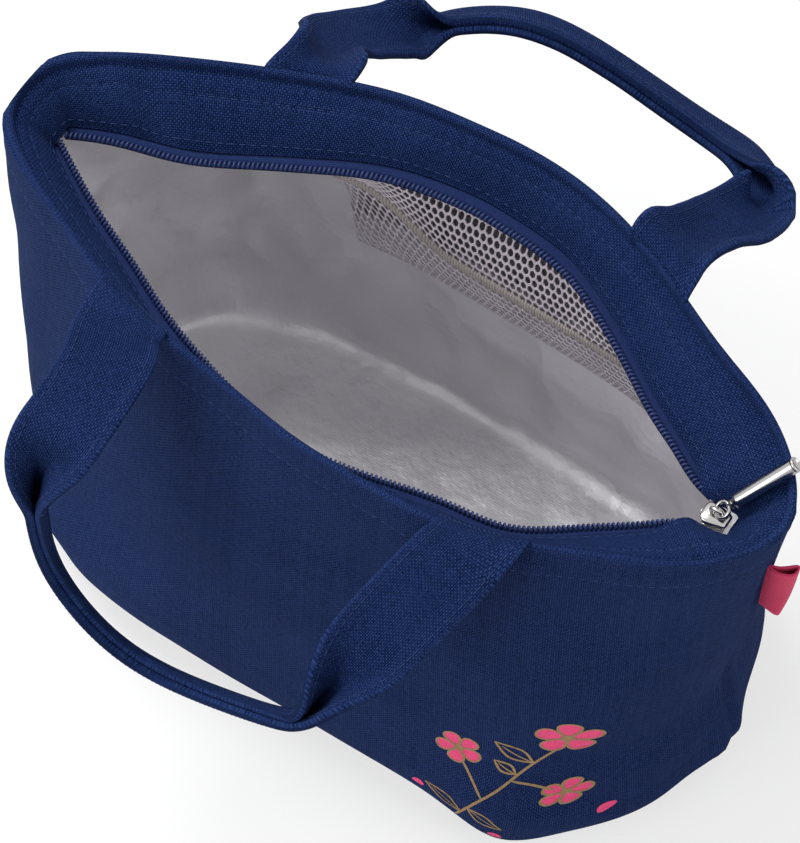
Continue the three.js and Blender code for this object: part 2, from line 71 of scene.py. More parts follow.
# Body, from the frame and from the part's own sizes
shell_low, shell_high = corners("outer_front_panel")
BAG_HEIGHT = shell_high[2]
RIM_HALF_LENGTH = shell_high[0]
BELLY_HALF_DEPTH = -shell_low[1]
RIM_HALF_DEPTH = 63.0
RIM_ROUND_X = 1.65
RIM_ROUND_Y = 1.85
BELLY_HEIGHT = 32.0
BELLY_HALF_LENGTH = 136.0
BASE_HALF_LENGTH = 122.0
BASE_HALF_DEPTH = 62.0
BASE_ROUND = 2.8
BASE_SHIFT = 3.5
SIDE_PINCH = 4.0
CANVAS = 1.2
FOAM = 3.0
LINING = 0.6
LAYER_GAP = 0.4
LINING_INSET = CANVAS + FOAM + LINING + 2 * LAYER_GAP
foam_top = corners("insulation_front")[1][2]

# Zip
coil_low, coil_high = corners("zip_coil_front")
ZIP_LEVEL = (coil_low[2] + coil_high[2]) / 2
ZIP_HALF_LENGTH = 130.0
ZIP_CENTRE_X = -2.0
ZIP_HALF_DEPTH = 51.0
ZIP_FULLNESS = 1.6
ZIP_OPEN_END = (-131.0, -115.0)
COIL_WIDTH = 2.6
COIL_HEIGHT = 2.4
COIL_PITCH = 1.55
COIL_WIRE = 0.42
COIL_RAISE = 0.5
FACING_REACH = 5.2
FACING_LOW = ZIP_LEVEL + 0.7
LINING_REACH = 5.6
LINING_TOP = ZIP_LEVEL - 0.7
LINING_HANG_DEPTH = 62.0
MOUTH_DEPTH = 56.0

# Net pocket
pocket_low, pocket_high = corners("pocket_lower_net")[0], corners("pocket_upper_net")[1]
POCKET_LEFT, POCKET_RIGHT = pocket_low[0], pocket_high[0]
POCKET_BOTTOM, POCKET_TOP = pocket_low[2], pocket_high[2]
BINDING_LOW, BINDING_HIGH = (corner[2] for corner in corners("pocket_binding"))

# Handles
STRAP_WIDTH = 28.0
STRAP_THICKNESS = 2.3
GRIP_LEAD = 5.0
HANDLE_SPAN = 130.0
HANDLE_ROOTS = (-HANDLE_SPAN / 2, HANDLE_SPAN / 2)
ROOT_HEIGHT = BAG_HEIGHT + 1.5

# How the soft cloth lies along the bag: height, middle and width of each swell, front -1 and back 1
RIM_CORNER = (1.8, -139.5, 6.0)
RIM_WAVE = {
    -1: ((-5.2, -34, 50), (-3.4, -105, 24), (3.2, 62, 28), (1.6, 126, 16), RIM_CORNER),
    1: (
        (-1.1, -108, 20), (5.9, -36, 36), (6.8, 18, 34), (4.0, 52, 30), (-1.2, 96, 20), (1.2, 122, 22),
        RIM_CORNER),
}
ROW_WAVE = {
    -1: ((-1.5, -84, 16), (6.5, 70, 20), (-2.4, 112, 9)),
    1: ((-7.0, -90, 24), (-3.2, -58, 20), (4.0, 34, 24), (-4.0, 88, 20), (-2.4, 108, 10)),
}
ROW_LIFT = ((-1.2, -82, 22), (0.8, -40, 22), (-0.6, 40, 45))
FRONT_STAND = ((9.2, 95, 24), (-1.4, 30, 36), (3.4, -88, 38))
RIM_END_X = -142.6
RIGHT_END_FLAT = 4.5
LEFT_WALL_FULL = 5.8
# How far the right foot stands out, away from the side seam and at it
FOOT_FULL = (0.5, 6.8)

# Mesh steps
COLS = 168
FINE = 600
BOTTOM_STEPS = 8
ROUND_STEPS = 12
WALL_ROWS = 64
LINING_ROWS = 60


def mix(a, b, share):
    return a + (b - a) * share


def rise(value, start, end):
    """0 before the start, 1 past the end, and a smooth climb between them."""
    share = np.clip((value - start) / (end - start), 0.0, 1.0)
    return share * share * (3 - 2 * share)


def bell(value, middle, width):
    return np.exp(-(((value - middle) / width) ** 2))


def swells(x, table):
    return sum(height * bell(x, middle, width) for height, middle, width in table)


def rumple(points, size, seed):
    """Smooth noise from -1 to 1 at each point."""
    shift = Vector((seed * 17.3, seed * 5.1, seed * 9.7))
    values = [noise.noise(Vector(p) + shift) for p in points.reshape(-1, 3) / size]
    return np.array(values).reshape(points.shape[:-1])


def unit(vectors):
    return vectors / np.maximum(np.linalg.norm(vectors, axis=-1, keepdims=True), 1e-9)


def lengths(points, axis=0):
    return np.linalg.norm(np.diff(points, axis=axis), axis=-1)


def arc_lengths(line):
    return np.concatenate([[0.0], np.cumsum(lengths(line))])


def follow(values, along, places):
    return np.stack([np.interp(places, along, column) for column in values.T], axis=1)


def even(line, count):
    """The same line in even steps."""
    along = arc_lengths(line)
    return follow(line, along, np.linspace(0, along[-1], count + 1))


def stepped(line, step):
    return even(line, int(arc_lengths(line)[-1] / step))


# Level outlines: height, half length, half depth, two roundings, middle
def base_section(share, inset):
    angle = share * math.pi / 2
    return np.array([
        inset + (BELLY_HEIGHT - inset) * (1 - math.cos(angle)),
        mix(BASE_HALF_LENGTH, BELLY_HALF_LENGTH, math.sin(angle)) - inset,
        mix(BASE_HALF_DEPTH, BELLY_HALF_DEPTH, math.sin(angle)) - inset,
        BASE_ROUND, BASE_ROUND, BASE_SHIFT,
    ])


def wall_section(share, inset):
    return np.array([
        mix(BELLY_HEIGHT, BAG_HEIGHT, share),
        mix(BELLY_HALF_LENGTH, RIM_HALF_LENGTH, share) - 4 * SIDE_PINCH * share * (1 - share) - inset,
        mix(BELLY_HALF_DEPTH, RIM_HALF_DEPTH, share) - inset,
        mix(BASE_ROUND, RIM_ROUND_X, share),
        mix(BASE_ROUND, RIM_ROUND_Y, share),
        mix(BASE_SHIFT, 0.0, share),
    ])


def zip_section(z, outset):
    return np.array([z, ZIP_HALF_LENGTH + outset, ZIP_HALF_DEPTH + outset, ZIP_FULLNESS, 1.0, ZIP_CENTRE_X])


def lining_section(z):
    """The lining follows the wall up to the foam's edge and leans in to the zip from there."""
    share = (min(z, foam_top) - BELLY_HEIGHT) / (BAG_HEIGHT - BELLY_HEIGHT)
    flare = max(0.0, (z - foam_top) / (LINING_TOP - foam_top))
    section = mix(wall_section(share, LINING_INSET), zip_section(LINING_TOP, LINING_REACH), flare)
    section[0] = z
    return section


def half_curve(section, side):
    """One half of a level outline, from its left tip to its right tip."""
    z, half_length, half_depth, round_x, round_y, centre = section
    turn = np.linspace(math.pi, 0.0, FINE + 1)
    c, s = np.cos(turn), np.sin(turn)
    x = centre + half_length * np.sign(c) * np.abs(c) ** (2 / round_x)
    y = side * half_depth * np.abs(s) ** (2 / round_y)
    return even(np.stack([x, y, np.full_like(x, z)], axis=1), COLS)


def bowl_rows(side, inset):
    """Rows from the middle of the base out to the belly."""
    flat = half_curve(base_section(0, inset), side)
    rows = [flat * np.array([1, k / BOTTOM_STEPS, 1]) for k in range(BOTTOM_STEPS)]
    return rows + [half_curve(base_section(k / ROUND_STEPS, inset), side) for k in range(ROUND_STEPS)]


def outward(curve, side):
    ahead = np.gradient(curve[:, :2], axis=0)
    return side * unit(np.stack([-ahead[:, 1], ahead[:, 0], np.zeros(len(ahead))], axis=1))


def rim_depth(x):
    share = np.abs(x / RIM_HALF_LENGTH) ** RIM_ROUND_X
    return RIM_HALF_DEPTH * (1 - share) ** (1 / RIM_ROUND_Y)


def rim_line(x, side):
    return rim_depth(x) + swells(x, RIM_WAVE[side])


def row_line(x, side):
    share = np.minimum(np.abs((x - ZIP_CENTRE_X) / ZIP_HALF_LENGTH), 1.0)
    return ZIP_HALF_DEPTH * (1 - share ** ZIP_FULLNESS) + swells(x, ROW_WAVE[side])


def row_weight(x, side):
    """How far a point on the zip row moves when the zip closes. Its left end stays open for the slider."""
    return np.clip(row_line(x, side) / ZIP_HALF_DEPTH, 0.0, 1.0) * rise(x, *ZIP_OPEN_END)


def mouth_share(points, side):
    """The share of the zip's closing move that the lining takes at a point."""
    return rise(points[..., 2], foam_top, LINING_TOP) * row_weight(points[..., 0], side)


def settle(points, side, share):
    """Moves points to where the soft rim lies, squared at its left end. share is 1 at the rim."""
    x = points[..., 0].copy()
    points[..., 1] += side * swells(x, RIM_WAVE[side]) * rise(np.abs(points[..., 1]), 0, 7) * share
    points[..., 0] += 0.8 * np.maximum(RIM_END_X - x, 0.0) * share


def lean(points, side):
    """The way the filled body stands: full at its right foot and its left wall, flat at its right end."""
    x, y, z = (points[..., k].copy() for k in range(3))
    foot = mix(*FOOT_FULL, bell(y, 0, 13)) * bell(z, 14, 24) - bell(z, 75, 28)
    points[..., 0] -= RIGHT_END_FLAT * rise(x, 80, 130) * rise(z, 110, 55)
    points[..., 0] += foot * rise(x, 96, 128)
    points[..., 0] -= LEFT_WALL_FULL * bell(z, 118, 52) * rise(x, -100, -138)
    if side < 0:
        points[..., 1] -= swells(x, FRONT_STAND) * rise(z, 85, 10) * rise(np.abs(y), 0, 60)


def sway(points, side, share):
    """Moves points near the zip row with its sway. share is 1 at the row."""
    x = points[..., 0]
    points[..., 1] += side * swells(x, ROW_WAVE[side]) * share
    points[..., 2] += swells(x, ROW_LIFT) * share


# Meshes
THREAD_SLOT = 1
STITCH_PLACES = np.array([0.0, 0.12, 0.5, 0.88, 1.0])
STITCH_LIFT = np.array([-0.25, 0.02, 0.08, 0.02, -0.25])
STITCH_SWELL = np.array([0.35, 0.9, 1.0, 0.9, 0.35])
STITCH_SIDES = 6
STITCH_RADIUS = 0.16


class Piece:
    """Collects points, faces and what each point carries, then becomes one object."""

    def __init__(self):
        self.points, self.faces, self.slots = [], [], []
        self.uvs, self.weights, self.wear = [], [], []
        self.count = 0

    def add(self, points, faces, uv=None, slot=0, weight=0.0, wear=0.0):
        points = np.asarray(points, float).reshape(-1, 3)
        size = len(points)
        self.points.append(points)
        self.uvs.append(np.zeros((size, 2)) if uv is None else np.reshape(uv, (-1, 2)))
        self.weights.append(np.broadcast_to(np.ravel(weight), size))
        self.wear.append(np.broadcast_to(np.ravel(wear), size))
        self.faces += [[self.count + i for i in face] for face in faces]
        self.slots += [slot] * len(faces)
        self.count += size

    def grid(self, points, uv=None, ring=False, flip=False, **carried):
        self.add(points, grid_faces(*points.shape[:2], ring, flip), uv, **carried)

    def tube(self, rings, uv=None, weight=None, wear=0.0):
        """Rings joined to a tube with closed ends."""
        uv = np.zeros((*rings.shape[:2], 2)) if uv is None else uv
        weight = np.zeros(rings.shape[:2]) if weight is None else weight
        self.grid(rings, uv, ring=True, weight=weight, wear=wear)
        fan = list(range(rings.shape[1]))
        for end, face in ((0, fan[::-1]), (-1, fan)):
            self.add(rings[end], [face], uv[end], weight=weight[end])

    def make(self, name, *materials):
        mesh = bpy.data.meshes.new(name)
        mesh.from_pydata((np.concatenate(self.points) * MM).tolist(), [], self.faces)
        for material in materials:
            mesh.materials.append(material)
        mesh.polygons.foreach_set("material_index", self.slots)
        mesh.polygons.foreach_set("use_smooth", [True] * len(self.faces))
        corner = np.empty(len(mesh.loops), dtype=np.int32)
        mesh.loops.foreach_get("vertex_index", corner)
        layer = mesh.uv_layers.new(name="weave")
        layer.data.foreach_set("uv", np.concatenate(self.uvs)[corner].astype(np.float32).ravel())
        # Paler worn edges, and on the lining the painted shade behind the net
        wear = mesh.attributes.new("wear", "FLOAT", "POINT")
        wear.data.foreach_set("value", np.concatenate(self.wear).astype(np.float32))
        mesh.update()
        return place_object(name, mesh)

    def blend(self, obj, body_a, body_b, start, end):
        """Bakes the object's transform into its mesh."""
        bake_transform(obj)

    def hang(self, obj, side):
        """Hands a piece that hangs from the zip to blend, with the bag and that zip row."""
        start, end = (0, side * LINING_HANG_DEPTH, foam_top), (0, side * MOUTH_DEPTH, LINING_TOP)
        self.blend(obj, "bag", f"{WORDS[side]}_mouth", start, end)

    def close(self, obj, side):
        """Hands a piece of a zip row to blend, with the bag and that row."""
        start = (ZIP_CENTRE_X - ZIP_HALF_LENGTH, 0, ZIP_LEVEL)
        self.blend(obj, "bag", f"{WORDS[side]}_mouth", start, (0, side * ZIP_HALF_DEPTH, ZIP_LEVEL))


def place_object(name, data):
    obj = bpy.data.objects.new(name, data)
    bpy.context.scene.collection.objects.link(obj)
    return obj


def dress(node):
    """Hides the solid that the piece stands for."""
    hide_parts(node)


def grid_faces(rows, cols, ring=False, flip=False):
    faces = []
    for r in range(rows - 1):
        for c in range(cols if ring else cols - 1):
            d = (c + 1) % cols
            face = [r * cols + c, r * cols + d, (r + 1) * cols + d, (r + 1) * cols + c]
            faces.append(face[::-1] if flip else face)
    return faces


def grid_uv(points):
    """Lengths along the columns and rows of a grid, in millimetres, so that a weave keeps its scale."""
    u, v = (np.concatenate([[0.0], np.cumsum(lengths(points, k).mean(axis=1 - k))]) for k in (1, 0))
    return np.stack(np.meshgrid(u, v), axis=2)


def grid_normals(points):
    return unit(np.cross(np.gradient(points, axis=1), np.gradient(points, axis=0)))


def hoops(centre, aside, up, radius, sides):
    """Round rings about each point of a line."""
    turn = np.linspace(0, 2 * math.pi, sides, endpoint=False)[:, None]
    spokes = aside[:, None] * np.cos(turn) + up[:, None] * np.sin(turn)
    return centre[:, None] + np.reshape(radius, (-1, 1, 1)) * spokes


def add_stitches(piece, line, normal, weight=0.0, length=2.3, gap=1.3):
    """A row of thread stitches lying on a line of points."""
    along = arc_lengths(line)
    weight = np.broadcast_to(weight, len(line))
    ring = list(range(STITCH_SIDES))
    last = (len(STITCH_PLACES) - 1) * STITCH_SIDES
    faces = [*grid_faces(len(STITCH_PLACES), STITCH_SIDES, ring=True), ring[::-1], [last + i for i in ring]]
    for start in np.arange(gap, along[-1] - length, length + gap):
        places = start + STITCH_PLACES * length
        centre = follow(line, along, places)
        up = unit(follow(normal, along, places))
        aside = unit(np.cross(unit(np.gradient(centre, axis=0)), up))
        centre = centre + up * STITCH_LIFT[:, None]
        rings = hoops(centre, aside, up, STITCH_RADIUS * STITCH_SWELL, STITCH_SIDES)
        share = np.repeat(np.interp(places, along, weight), STITCH_SIDES)
        piece.add(rings, faces, slot=THREAD_SLOT, weight=share)


def thicken(obj, thickness, offset=-1.0):
    solid = obj.modifiers.new("thickness", "SOLIDIFY")
    solid.thickness = thickness * MM
    solid.offset = offset
    solid.use_rim = True


# Materials
class Term:
    """A value in a material's nodes that can be reckoned with."""

    def __init__(self, graph, socket):
        self.graph = graph
        self.socket = socket

    def __add__(self, other):
        return self.graph.math("ADD", self, other)

    def __sub__(self, other):
        return self.graph.math("SUBTRACT", self, other)

    def __mul__(self, other):
        return self.graph.math("MULTIPLY", self, other)

    def __truediv__(self, other):
        return self.graph.math("DIVIDE", self, other)

    def ridges(self, pitch=1.0):
        return self.graph.math("ABSOLUTE", self.graph.math("SINE", self * (math.pi / pitch)))


class Graph:
    """A material's node tree with short calls for the nodes that are used here."""

    def __init__(self, name):
        self.material = bpy.data.materials.new(name)
        self.material.use_nodes = True
        self.tree = self.material.node_tree
        self.shader = self.tree.nodes["Principled BSDF"]

    def node(self, kind, **values):
        node = self.tree.nodes.new(kind)
        for key, value in values.items():
            setattr(node, key, value)
        return node

    def feed(self, socket, value):
        """Links a term or a socket, or sets a number or a colour."""
        value = value.socket if isinstance(value, Term) else value
        if isinstance(value, bpy.types.NodeSocket):
            self.tree.links.new(value, socket)
        else:
            socket.default_value = (*value, 1.0) if isinstance(value, tuple) else value

    def math(self, operation, a, b=0.0, clamp=False):
        node = self.node("ShaderNodeMath", operation=operation, use_clamp=clamp)
        self.feed(node.inputs[0], a)
        self.feed(node.inputs[1], b)
        return Term(self, node.outputs[0])

    def blend(self, share, a, b):
        node = self.node("ShaderNodeMix", data_type="RGBA")
        self.feed(node.inputs["Factor"], share)
        self.feed(node.inputs["A"], a)
        self.feed(node.inputs["B"], b)
        return Term(self, next(socket for socket in node.outputs if socket.type == "RGBA"))

    def weave_place(self):
        uv = self.node("ShaderNodeUVMap", uv_map="weave")
        split = self.node("ShaderNodeSeparateXYZ")
        self.feed(split.inputs[0], uv.outputs[0])
        return Term(self, split.outputs[0]), Term(self, split.outputs[1])

    def noise(self, scale, detail=2.0):
        node = self.node("ShaderNodeTexNoise")
        self.feed(node.inputs["Scale"], scale)
        self.feed(node.inputs["Detail"], detail)
        self.feed(node.inputs["Vector"], self.node("ShaderNodeTexCoord").outputs["Object"])
        return Term(self, node.outputs["Fac"])

    def chance(self, dimensions, socket, value):
        """A number from 0 to 1 that is the same wherever the value is."""
        node = self.node("ShaderNodeTexWhiteNoise", noise_dimensions=dimensions)
        self.feed(node.inputs[socket], value)
        return Term(self, node.outputs["Value"])

    # Worn edges, and painted shade on the lining behind the net
    def wear(self):
        return Term(self, self.node("ShaderNodeAttribute", attribute_name="wear").outputs["Fac"])

    def bump(self, height, strength, distance, after=None):
        node = self.node("ShaderNodeBump")
        self.feed(node.inputs["Strength"], strength)
        self.feed(node.inputs["Distance"], distance * MM)
        self.feed(node.inputs["Height"], height)
        if after is not None:
            self.feed(node.inputs["Normal"], after)
        return Term(self, node.outputs["Normal"])

    def finish(self, base, rough, normal=None, **constants):
        self.feed(self.shader.inputs["Base Color"], base)
        self.feed(self.shader.inputs["Roughness"], rough)
        if normal is not None:
            self.feed(self.shader.inputs["Normal"], normal)
        for key, value in constants.items():
            self.feed(self.shader.inputs[key.replace("_", " ")], value)
        return self.material


NAVY_DEEP = (0.0028, 0.0085, 0.0400)
NAVY_PALE = (0.0240, 0.0490, 0.1650)
CANVAS_PITCH = 0.74
RIBBON_PITCH = 0.45
# Keeps the count of threads positive
WEAVE_START = 4000.0


def woven(graph, pitch):
    """A plain weave: its height, a tone of the thread on top, and which of the two threads that is."""
    across, along = (place / pitch + WEAVE_START for place in graph.weave_place())
    warp, weft = across.ridges(), along.ridges()
    column, row = graph.math("FLOOR", across), graph.math("FLOOR", along)
    over = graph.math("MODULO", column + row, 2.0)
    under = graph.math("SUBTRACT", 1.0, over)
    height = warp * (weft * 0.6 + 0.4) * over + weft * (warp * 0.6 + 0.4) * under
    thread = graph.chance("1D", "W", column) * over + graph.chance("1D", "W", row + 0.5) * under
    cell = graph.node("ShaderNodeCombineXYZ")
    graph.feed(cell.inputs[0], column)
    graph.feed(cell.inputs[1], row)
    return height, thread * 0.4 + graph.chance("2D", "Vector", cell.outputs[0]) * 0.6, over


def canvas_material(name):
    """Matt woven cotton: threads of uneven tone, dark gaps, paler worn edges."""
    graph = Graph(name)
    height, tone, over = woven(graph, CANVAS_PITCH)
    cloud, fleck = graph.noise(22.0, 4.0), graph.noise(900.0)
    share = height * 0.95 + tone * 0.6 + (cloud - 1.25) * 0.5 + (fleck - 0.5) * 0.6 + (over - 0.5) * 0.5
    base = graph.blend(graph.math("ADD", share, graph.wear() * 0.25, clamp=True), NAVY_DEEP, NAVY_PALE)
    return graph.finish(
        base, height * -0.12 + 0.95, graph.bump(height, 0.9, 0.45), Sheen_Weight=0.03, Sheen_Roughness=0.6,
        Sheen_Tint=(0.2, 0.35, 1.0), Specular_IOR_Level=0.06, Specular_Tint=(0.4, 0.55, 1.0))


def satin_material():
    """Silver-grey coated lining with soft creases. Behind the net, where the attribute is 1, it is painted
    near black as shade.
    """
    graph = Graph("lining satin")
    fine = graph.math("SINE", graph.weave_place()[1] * 9.0)
    crease, cloud = graph.noise(34.0, 6.0), graph.noise(9.0, 3.0)
    base = graph.blend(crease * 0.5 + cloud * 0.5, (0.62, 0.61, 0.64), (0.92, 0.91, 0.93))
    # Painted shade: the lining is near black behind the net
    base = graph.blend(graph.wear(), base, (0.045, 0.038, 0.052))
    normal = graph.bump(fine, 0.08, 0.1, graph.bump(crease, 1.0, 3.0))
    return graph.finish(base, cloud * 0.2 + 0.28, normal, Metallic=0.45, Specular_IOR_Level=0.5)


def plain_material(name, grain, dark, pale, rough, bump, **constants):
    """A material whose tone and height follow one fine noise."""
    graph = Graph(name)
    fleck = graph.noise(grain)
    return graph.finish(graph.blend(fleck, dark, pale), rough, graph.bump(fleck, *bump), **constants)


def tape_material():
    """Zip tape with fine ribs across it."""
    graph = Graph("zip tape")
    u, v = graph.weave_place()
    height = u.ridges(0.7) * v.ridges(0.9)
    base = graph.blend((height + graph.noise(800.0)) * 0.5, (0.005, 0.011, 0.048), (0.020, 0.038, 0.135))
    return graph.finish(base, 0.85, graph.bump(height, 0.4, 0.25), Specular_IOR_Level=0.1)


def coil_material():
    graph = Graph("zip coil")
    fleck = graph.noise(500.0, 3.0)
    base = graph.blend(fleck, (0.012, 0.022, 0.085), (0.036, 0.060, 0.190))
    return graph.finish(base, fleck * 0.25 + 0.3, graph.bump(fleck, 0.1, 0.1), Specular_IOR_Level=0.28)


def chrome_material():
    """Polished plating with faint rub marks."""
    graph = Graph("chrome plating")
    rub, cloud = graph.noise(260.0, 5.0), graph.noise(60.0)
    base = graph.blend(cloud, (0.38, 0.37, 0.365), (0.56, 0.55, 0.54))
    return graph.finish(base, rub * 0.16 + 0.08, graph.bump(rub, 0.05, 0.05), Metallic=1.0)


def net_material():
    graph = Graph("net yarn")
    knit, cloud = graph.noise(1500.0), graph.noise(80.0)
    base = graph.blend((knit + cloud) * 0.5, (0.60, 0.52, 0.60), (0.95, 0.87, 0.94))
    return graph.finish(base, 0.75, graph.bump(knit, 0.5, 0.25), Sheen_Weight=0.15)


def binding_material():
    """Ribbed tape folded over the pocket's edge."""
    graph = Graph("binding tape")
    rib = graph.weave_place()[0].ridges(1.1)
    base = graph.blend(rib * 0.6 + graph.noise(900.0) * 0.4, (0.27, 0.235, 0.22), (0.60, 0.54, 0.51))
    return graph.finish(base, 0.85, graph.bump(rib, 0.6, 0.4), Sheen_Weight=0.1)


def ribbon_material():
    """Red woven ribbon: fine close weave with paler edges."""
    graph = Graph("tag ribbon")
    height, tone, _ = woven(graph, RIBBON_PITCH)
    share = graph.math("ADD", height * 0.6 + tone * 0.25, graph.wear() * 0.3, clamp=True)
    base = graph.blend(share, (0.38, 0.012, 0.055), (0.80, 0.060, 0.165))
    return graph.finish(base, 0.65, graph.bump(height, 0.4, 0.2), Sheen_Weight=0.04, Specular_IOR_Level=0.2)


def tones(rgb, dark, pale):
    return tuple(dark * c for c in rgb), tuple(pale * c for c in rgb)


def ink_material(name, rgb):
    """Printed ink that lets a little of the weave through."""
    graph = Graph(name)
    height = woven(graph, CANVAS_PITCH)[0]
    share = graph.math("ADD", height * 0.4, graph.noise(420.0, 3.0) * 0.7, clamp=True)
    base = graph.blend(share, *tones(rgb, 0.55, 1.15))
    return graph.finish(base, 0.7, graph.bump(height, 0.3, 0.2), Specular_IOR_Level=0.2)


CANVAS_CLOTH = canvas_material("navy canvas")
STRAP_CLOTH = canvas_material("navy strap canvas")
THREAD_TONES = tones((0.030, 0.052, 0.155), 0.6, 1.3)
NAVY_THREAD = plain_material(
    "navy thread", 1400.0, *THREAD_TONES, 0.75, (0.4, 0.15), Specular_IOR_Level=0.15)
FOAM_SHEET = plain_material("foam sheet", 700.0, (0.70, 0.70, 0.68), (0.86, 0.86, 0.84), 0.9, (0.3, 0.4))
SATIN = satin_material()
TAPE = tape_material()
COIL = coil_material()
CHROME = chrome_material()
NET = net_material()
BINDING = binding_material()
RIBBON = ribbon_material()
GOLD_INK = ink_material("gold ink", (0.32, 0.21, 0.10))
PINK_INK = ink_material("pink ink", (0.85, 0.075, 0.22))

# Canvas body. The rim's turned edge, outside and inside of its crest: inset and height over the rim
RIM_OUTSIDE = ((0.02, 0.35), (0.2, 0.8), (0.5, 1.1), (0.95, 1.25))
RIM_INSIDE = ((0.95, 1.25), (1.5, 1.25), (2.05, 1.0), (2.5, 0.5), (2.8, -0.2), (2.95, -1.1), (2.9, -1.9))
TOPSTITCH_DROP = 11.0
SETTLE_START = 95.0
# Folds that hang from each handle's root: place beside it and height
ROOT_FOLDS = ((-17, 1.1), (17, 1.1), (0, -1.0))


def wall_slack(points, side, edge):
    """How far the soft wall stands out from its plain form. edge is the distance from the side seam."""
    x, z = points[..., 0], points[..., 2]
    low = BAG_HEIGHT - z
    free = rise(low, 4, 44) * rise(z, 2, 28) * rise(edge, 0, 22)
    slack = free * (2.1 * rumple(points, 75.0, 1 + side) + 0.9 * rumple(points, 30.0, 4 + side))
    for root in HANDLE_ROOTS:
        for off, height in ROOT_FOLDS:
            fold = bell(x, root + off * (1 + low / 140), 5 + low / 16)
            slack += height * fold * np.exp(-low / 42) * rise(low, 0, 9)
    # Creases at the two ends of the base, and a dent over them
    near_end = rise(np.abs(x - BASE_SHIFT), 78, 112) * rise(edge, 0, 14)
    slack += 1.5 * near_end * bell(z, 24, 20) * np.sin((z * 0.9 + np.abs(x) * 0.55) / 6.0)
    slack -= 1.8 * bell(z, 58, 13) * rise(np.abs(x), 40, 100) * free
    # The fold beside the side seam, the groove of the stitches and the swell over it
    slack += 0.55 * bell(edge, 5.0, 2.4)
    slack += 0.18 * bell(low, TOPSTITCH_DROP - 3.5, 2.5) - 0.3 * bell(low, TOPSTITCH_DROP, 0.9)
    return slack


def rim_row(side, inset, lift):
    row = half_curve(wall_section(1, inset), side)
    row[:, 2] += lift
    settle(row, side, 1.0)
    return row


def outer_surface(side):
    rows = bowl_rows(side, 0)
    rows += [half_curve(wall_section(k / WALL_ROWS, 0), side) for k in range(WALL_ROWS + 1)]
    points = np.array(rows)
    normal = np.array([outward(row, side) for row in rows])
    normal[:BOTTOM_STEPS] = 0.0
    share = np.linspace(0, 1, COLS + 1)
    edge = lengths(points, 1).sum(axis=1, keepdims=True) * np.minimum(share, 1 - share)
    points += normal * (wall_slack(points, side, edge) * rise(edge, 0, 3))[..., None]
    seam = 0.9 * bell(edge, 0, 2.2) * rise(points[..., 2], 3, 15)
    points[..., 0] -= np.sign(points[..., 0]) * seam
    lean(points, side)
    settle(points, side, rise(points[..., 2], SETTLE_START, BAG_HEIGHT))
    points = np.concatenate([points, [rim_row(side, *step) for step in RIM_OUTSIDE]])
    points[..., 2] = np.maximum(points[..., 2], 0.0)
    return points


def make_outer(side):
    points = outer_surface(side)
    z = points[..., 2]
    wear = 0.8 * rise(z, BAG_HEIGHT - 0.6, BAG_HEIGHT + 0.8) + 0.35 * bell(z, 5, 5)
    piece = Piece()
    piece.grid(points, grid_uv(points), flip=side > 0, wear=wear)
    near = np.argmin(np.abs(z[:-len(RIM_OUTSIDE), COLS // 2] - (BAG_HEIGHT - TOPSTITCH_DROP)))
    add_stitches(piece, points[near], -side * grid_normals(points)[near])
    obj = piece.make(f"outer_{WORDS[side]}_canvas", CANVAS_CLOTH, NAVY_THREAD)
    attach(obj, "bag")
    dress(f"outer_{WORDS[side]}_panel")
    return points


# Foam, which follows the canvas, and lining. What shows of their thickness is less than the solids have.
FOAM_STEP = 3
FOAM_DEPTH = 2.0
FOAM_FLOOR = 1.8
FOAM_SHOWN = 1.2
LINING_SHOWN = 0.5


def make_foam(side, canvas):
    rows = np.where(canvas[:, COLS // 2, 2] < foam_top)[0][BOTTOM_STEPS::2]
    within = (canvas + side * FOAM_DEPTH * grid_normals(canvas))[rows][:, ::FOAM_STEP]
    within[..., 2] = np.maximum(within[..., 2], FOAM_FLOOR)
    floor = within[:1] * np.array([1, 0.01, 1])
    points = np.concatenate([floor, within])
    piece = Piece()
    piece.grid(points, grid_uv(points), flip=side > 0)
    obj = piece.make(f"foam_{WORDS[side]}", FOAM_SHEET)
    thicken(obj, FOAM_SHOWN)
    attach(obj, "bag")
    dress(f"insulation_{WORDS[side]}")


def make_lining(side):
    rows = bowl_rows(side, LINING_INSET)
    rows += [half_curve(lining_section(z), side) for z in np.linspace(BELLY_HEIGHT, LINING_TOP, LINING_ROWS)]
    points = np.array(rows)
    normal = np.array([outward(row, side) for row in rows])
    x, z = points[..., 0], points[..., 2]
    free = rise(z, LINING_TOP, LINING_TOP - 22) * rise(z, 4, 16)
    fold = 2.2 * rumple(points * np.array([1.0, 1.0, 0.35]), 22.0, 8 + side)
    fold += 1.8 * rumple(points, 34.0, 11 + side)
    fold += 1.5 * (0.5 - 2.4 * np.abs(rumple(points * np.array([1.0, 1.0, 0.6]), 21.0, 14)))
    # The zone behind the net: the lining lies flatter there, and this mask paints it dark as shade
    net_shade_zone = (side > 0) * rise(x, POCKET_LEFT, POCKET_LEFT + 4) * rise(x, POCKET_RIGHT, POCKET_RIGHT - 4)
    net_shade_zone = net_shade_zone * rise(z, BINDING_LOW - 20, BINDING_LOW - 15)
    points = points - normal * (free * (1 - 0.8 * net_shade_zone) * (1.6 + fold))[..., None]
    points[..., 2] += (0.9 + 0.8 * rumple(points, 24.0, 3)) * rise(z, 10, 4)
    weight = mouth_share(points, side)
    sway(points, side, rise(z, foam_top, LINING_TOP))
    lean(points, side)
    piece = Piece()
    piece.grid(points, grid_uv(points), flip=side < 0, weight=weight, wear=net_shade_zone)
    obj = piece.make(f"lining_{WORDS[side]}_satin", SATIN)
    thicken(obj, LINING_SHOWN)
    piece.hang(obj, side)
    dress(f"lining_{WORDS[side]}")


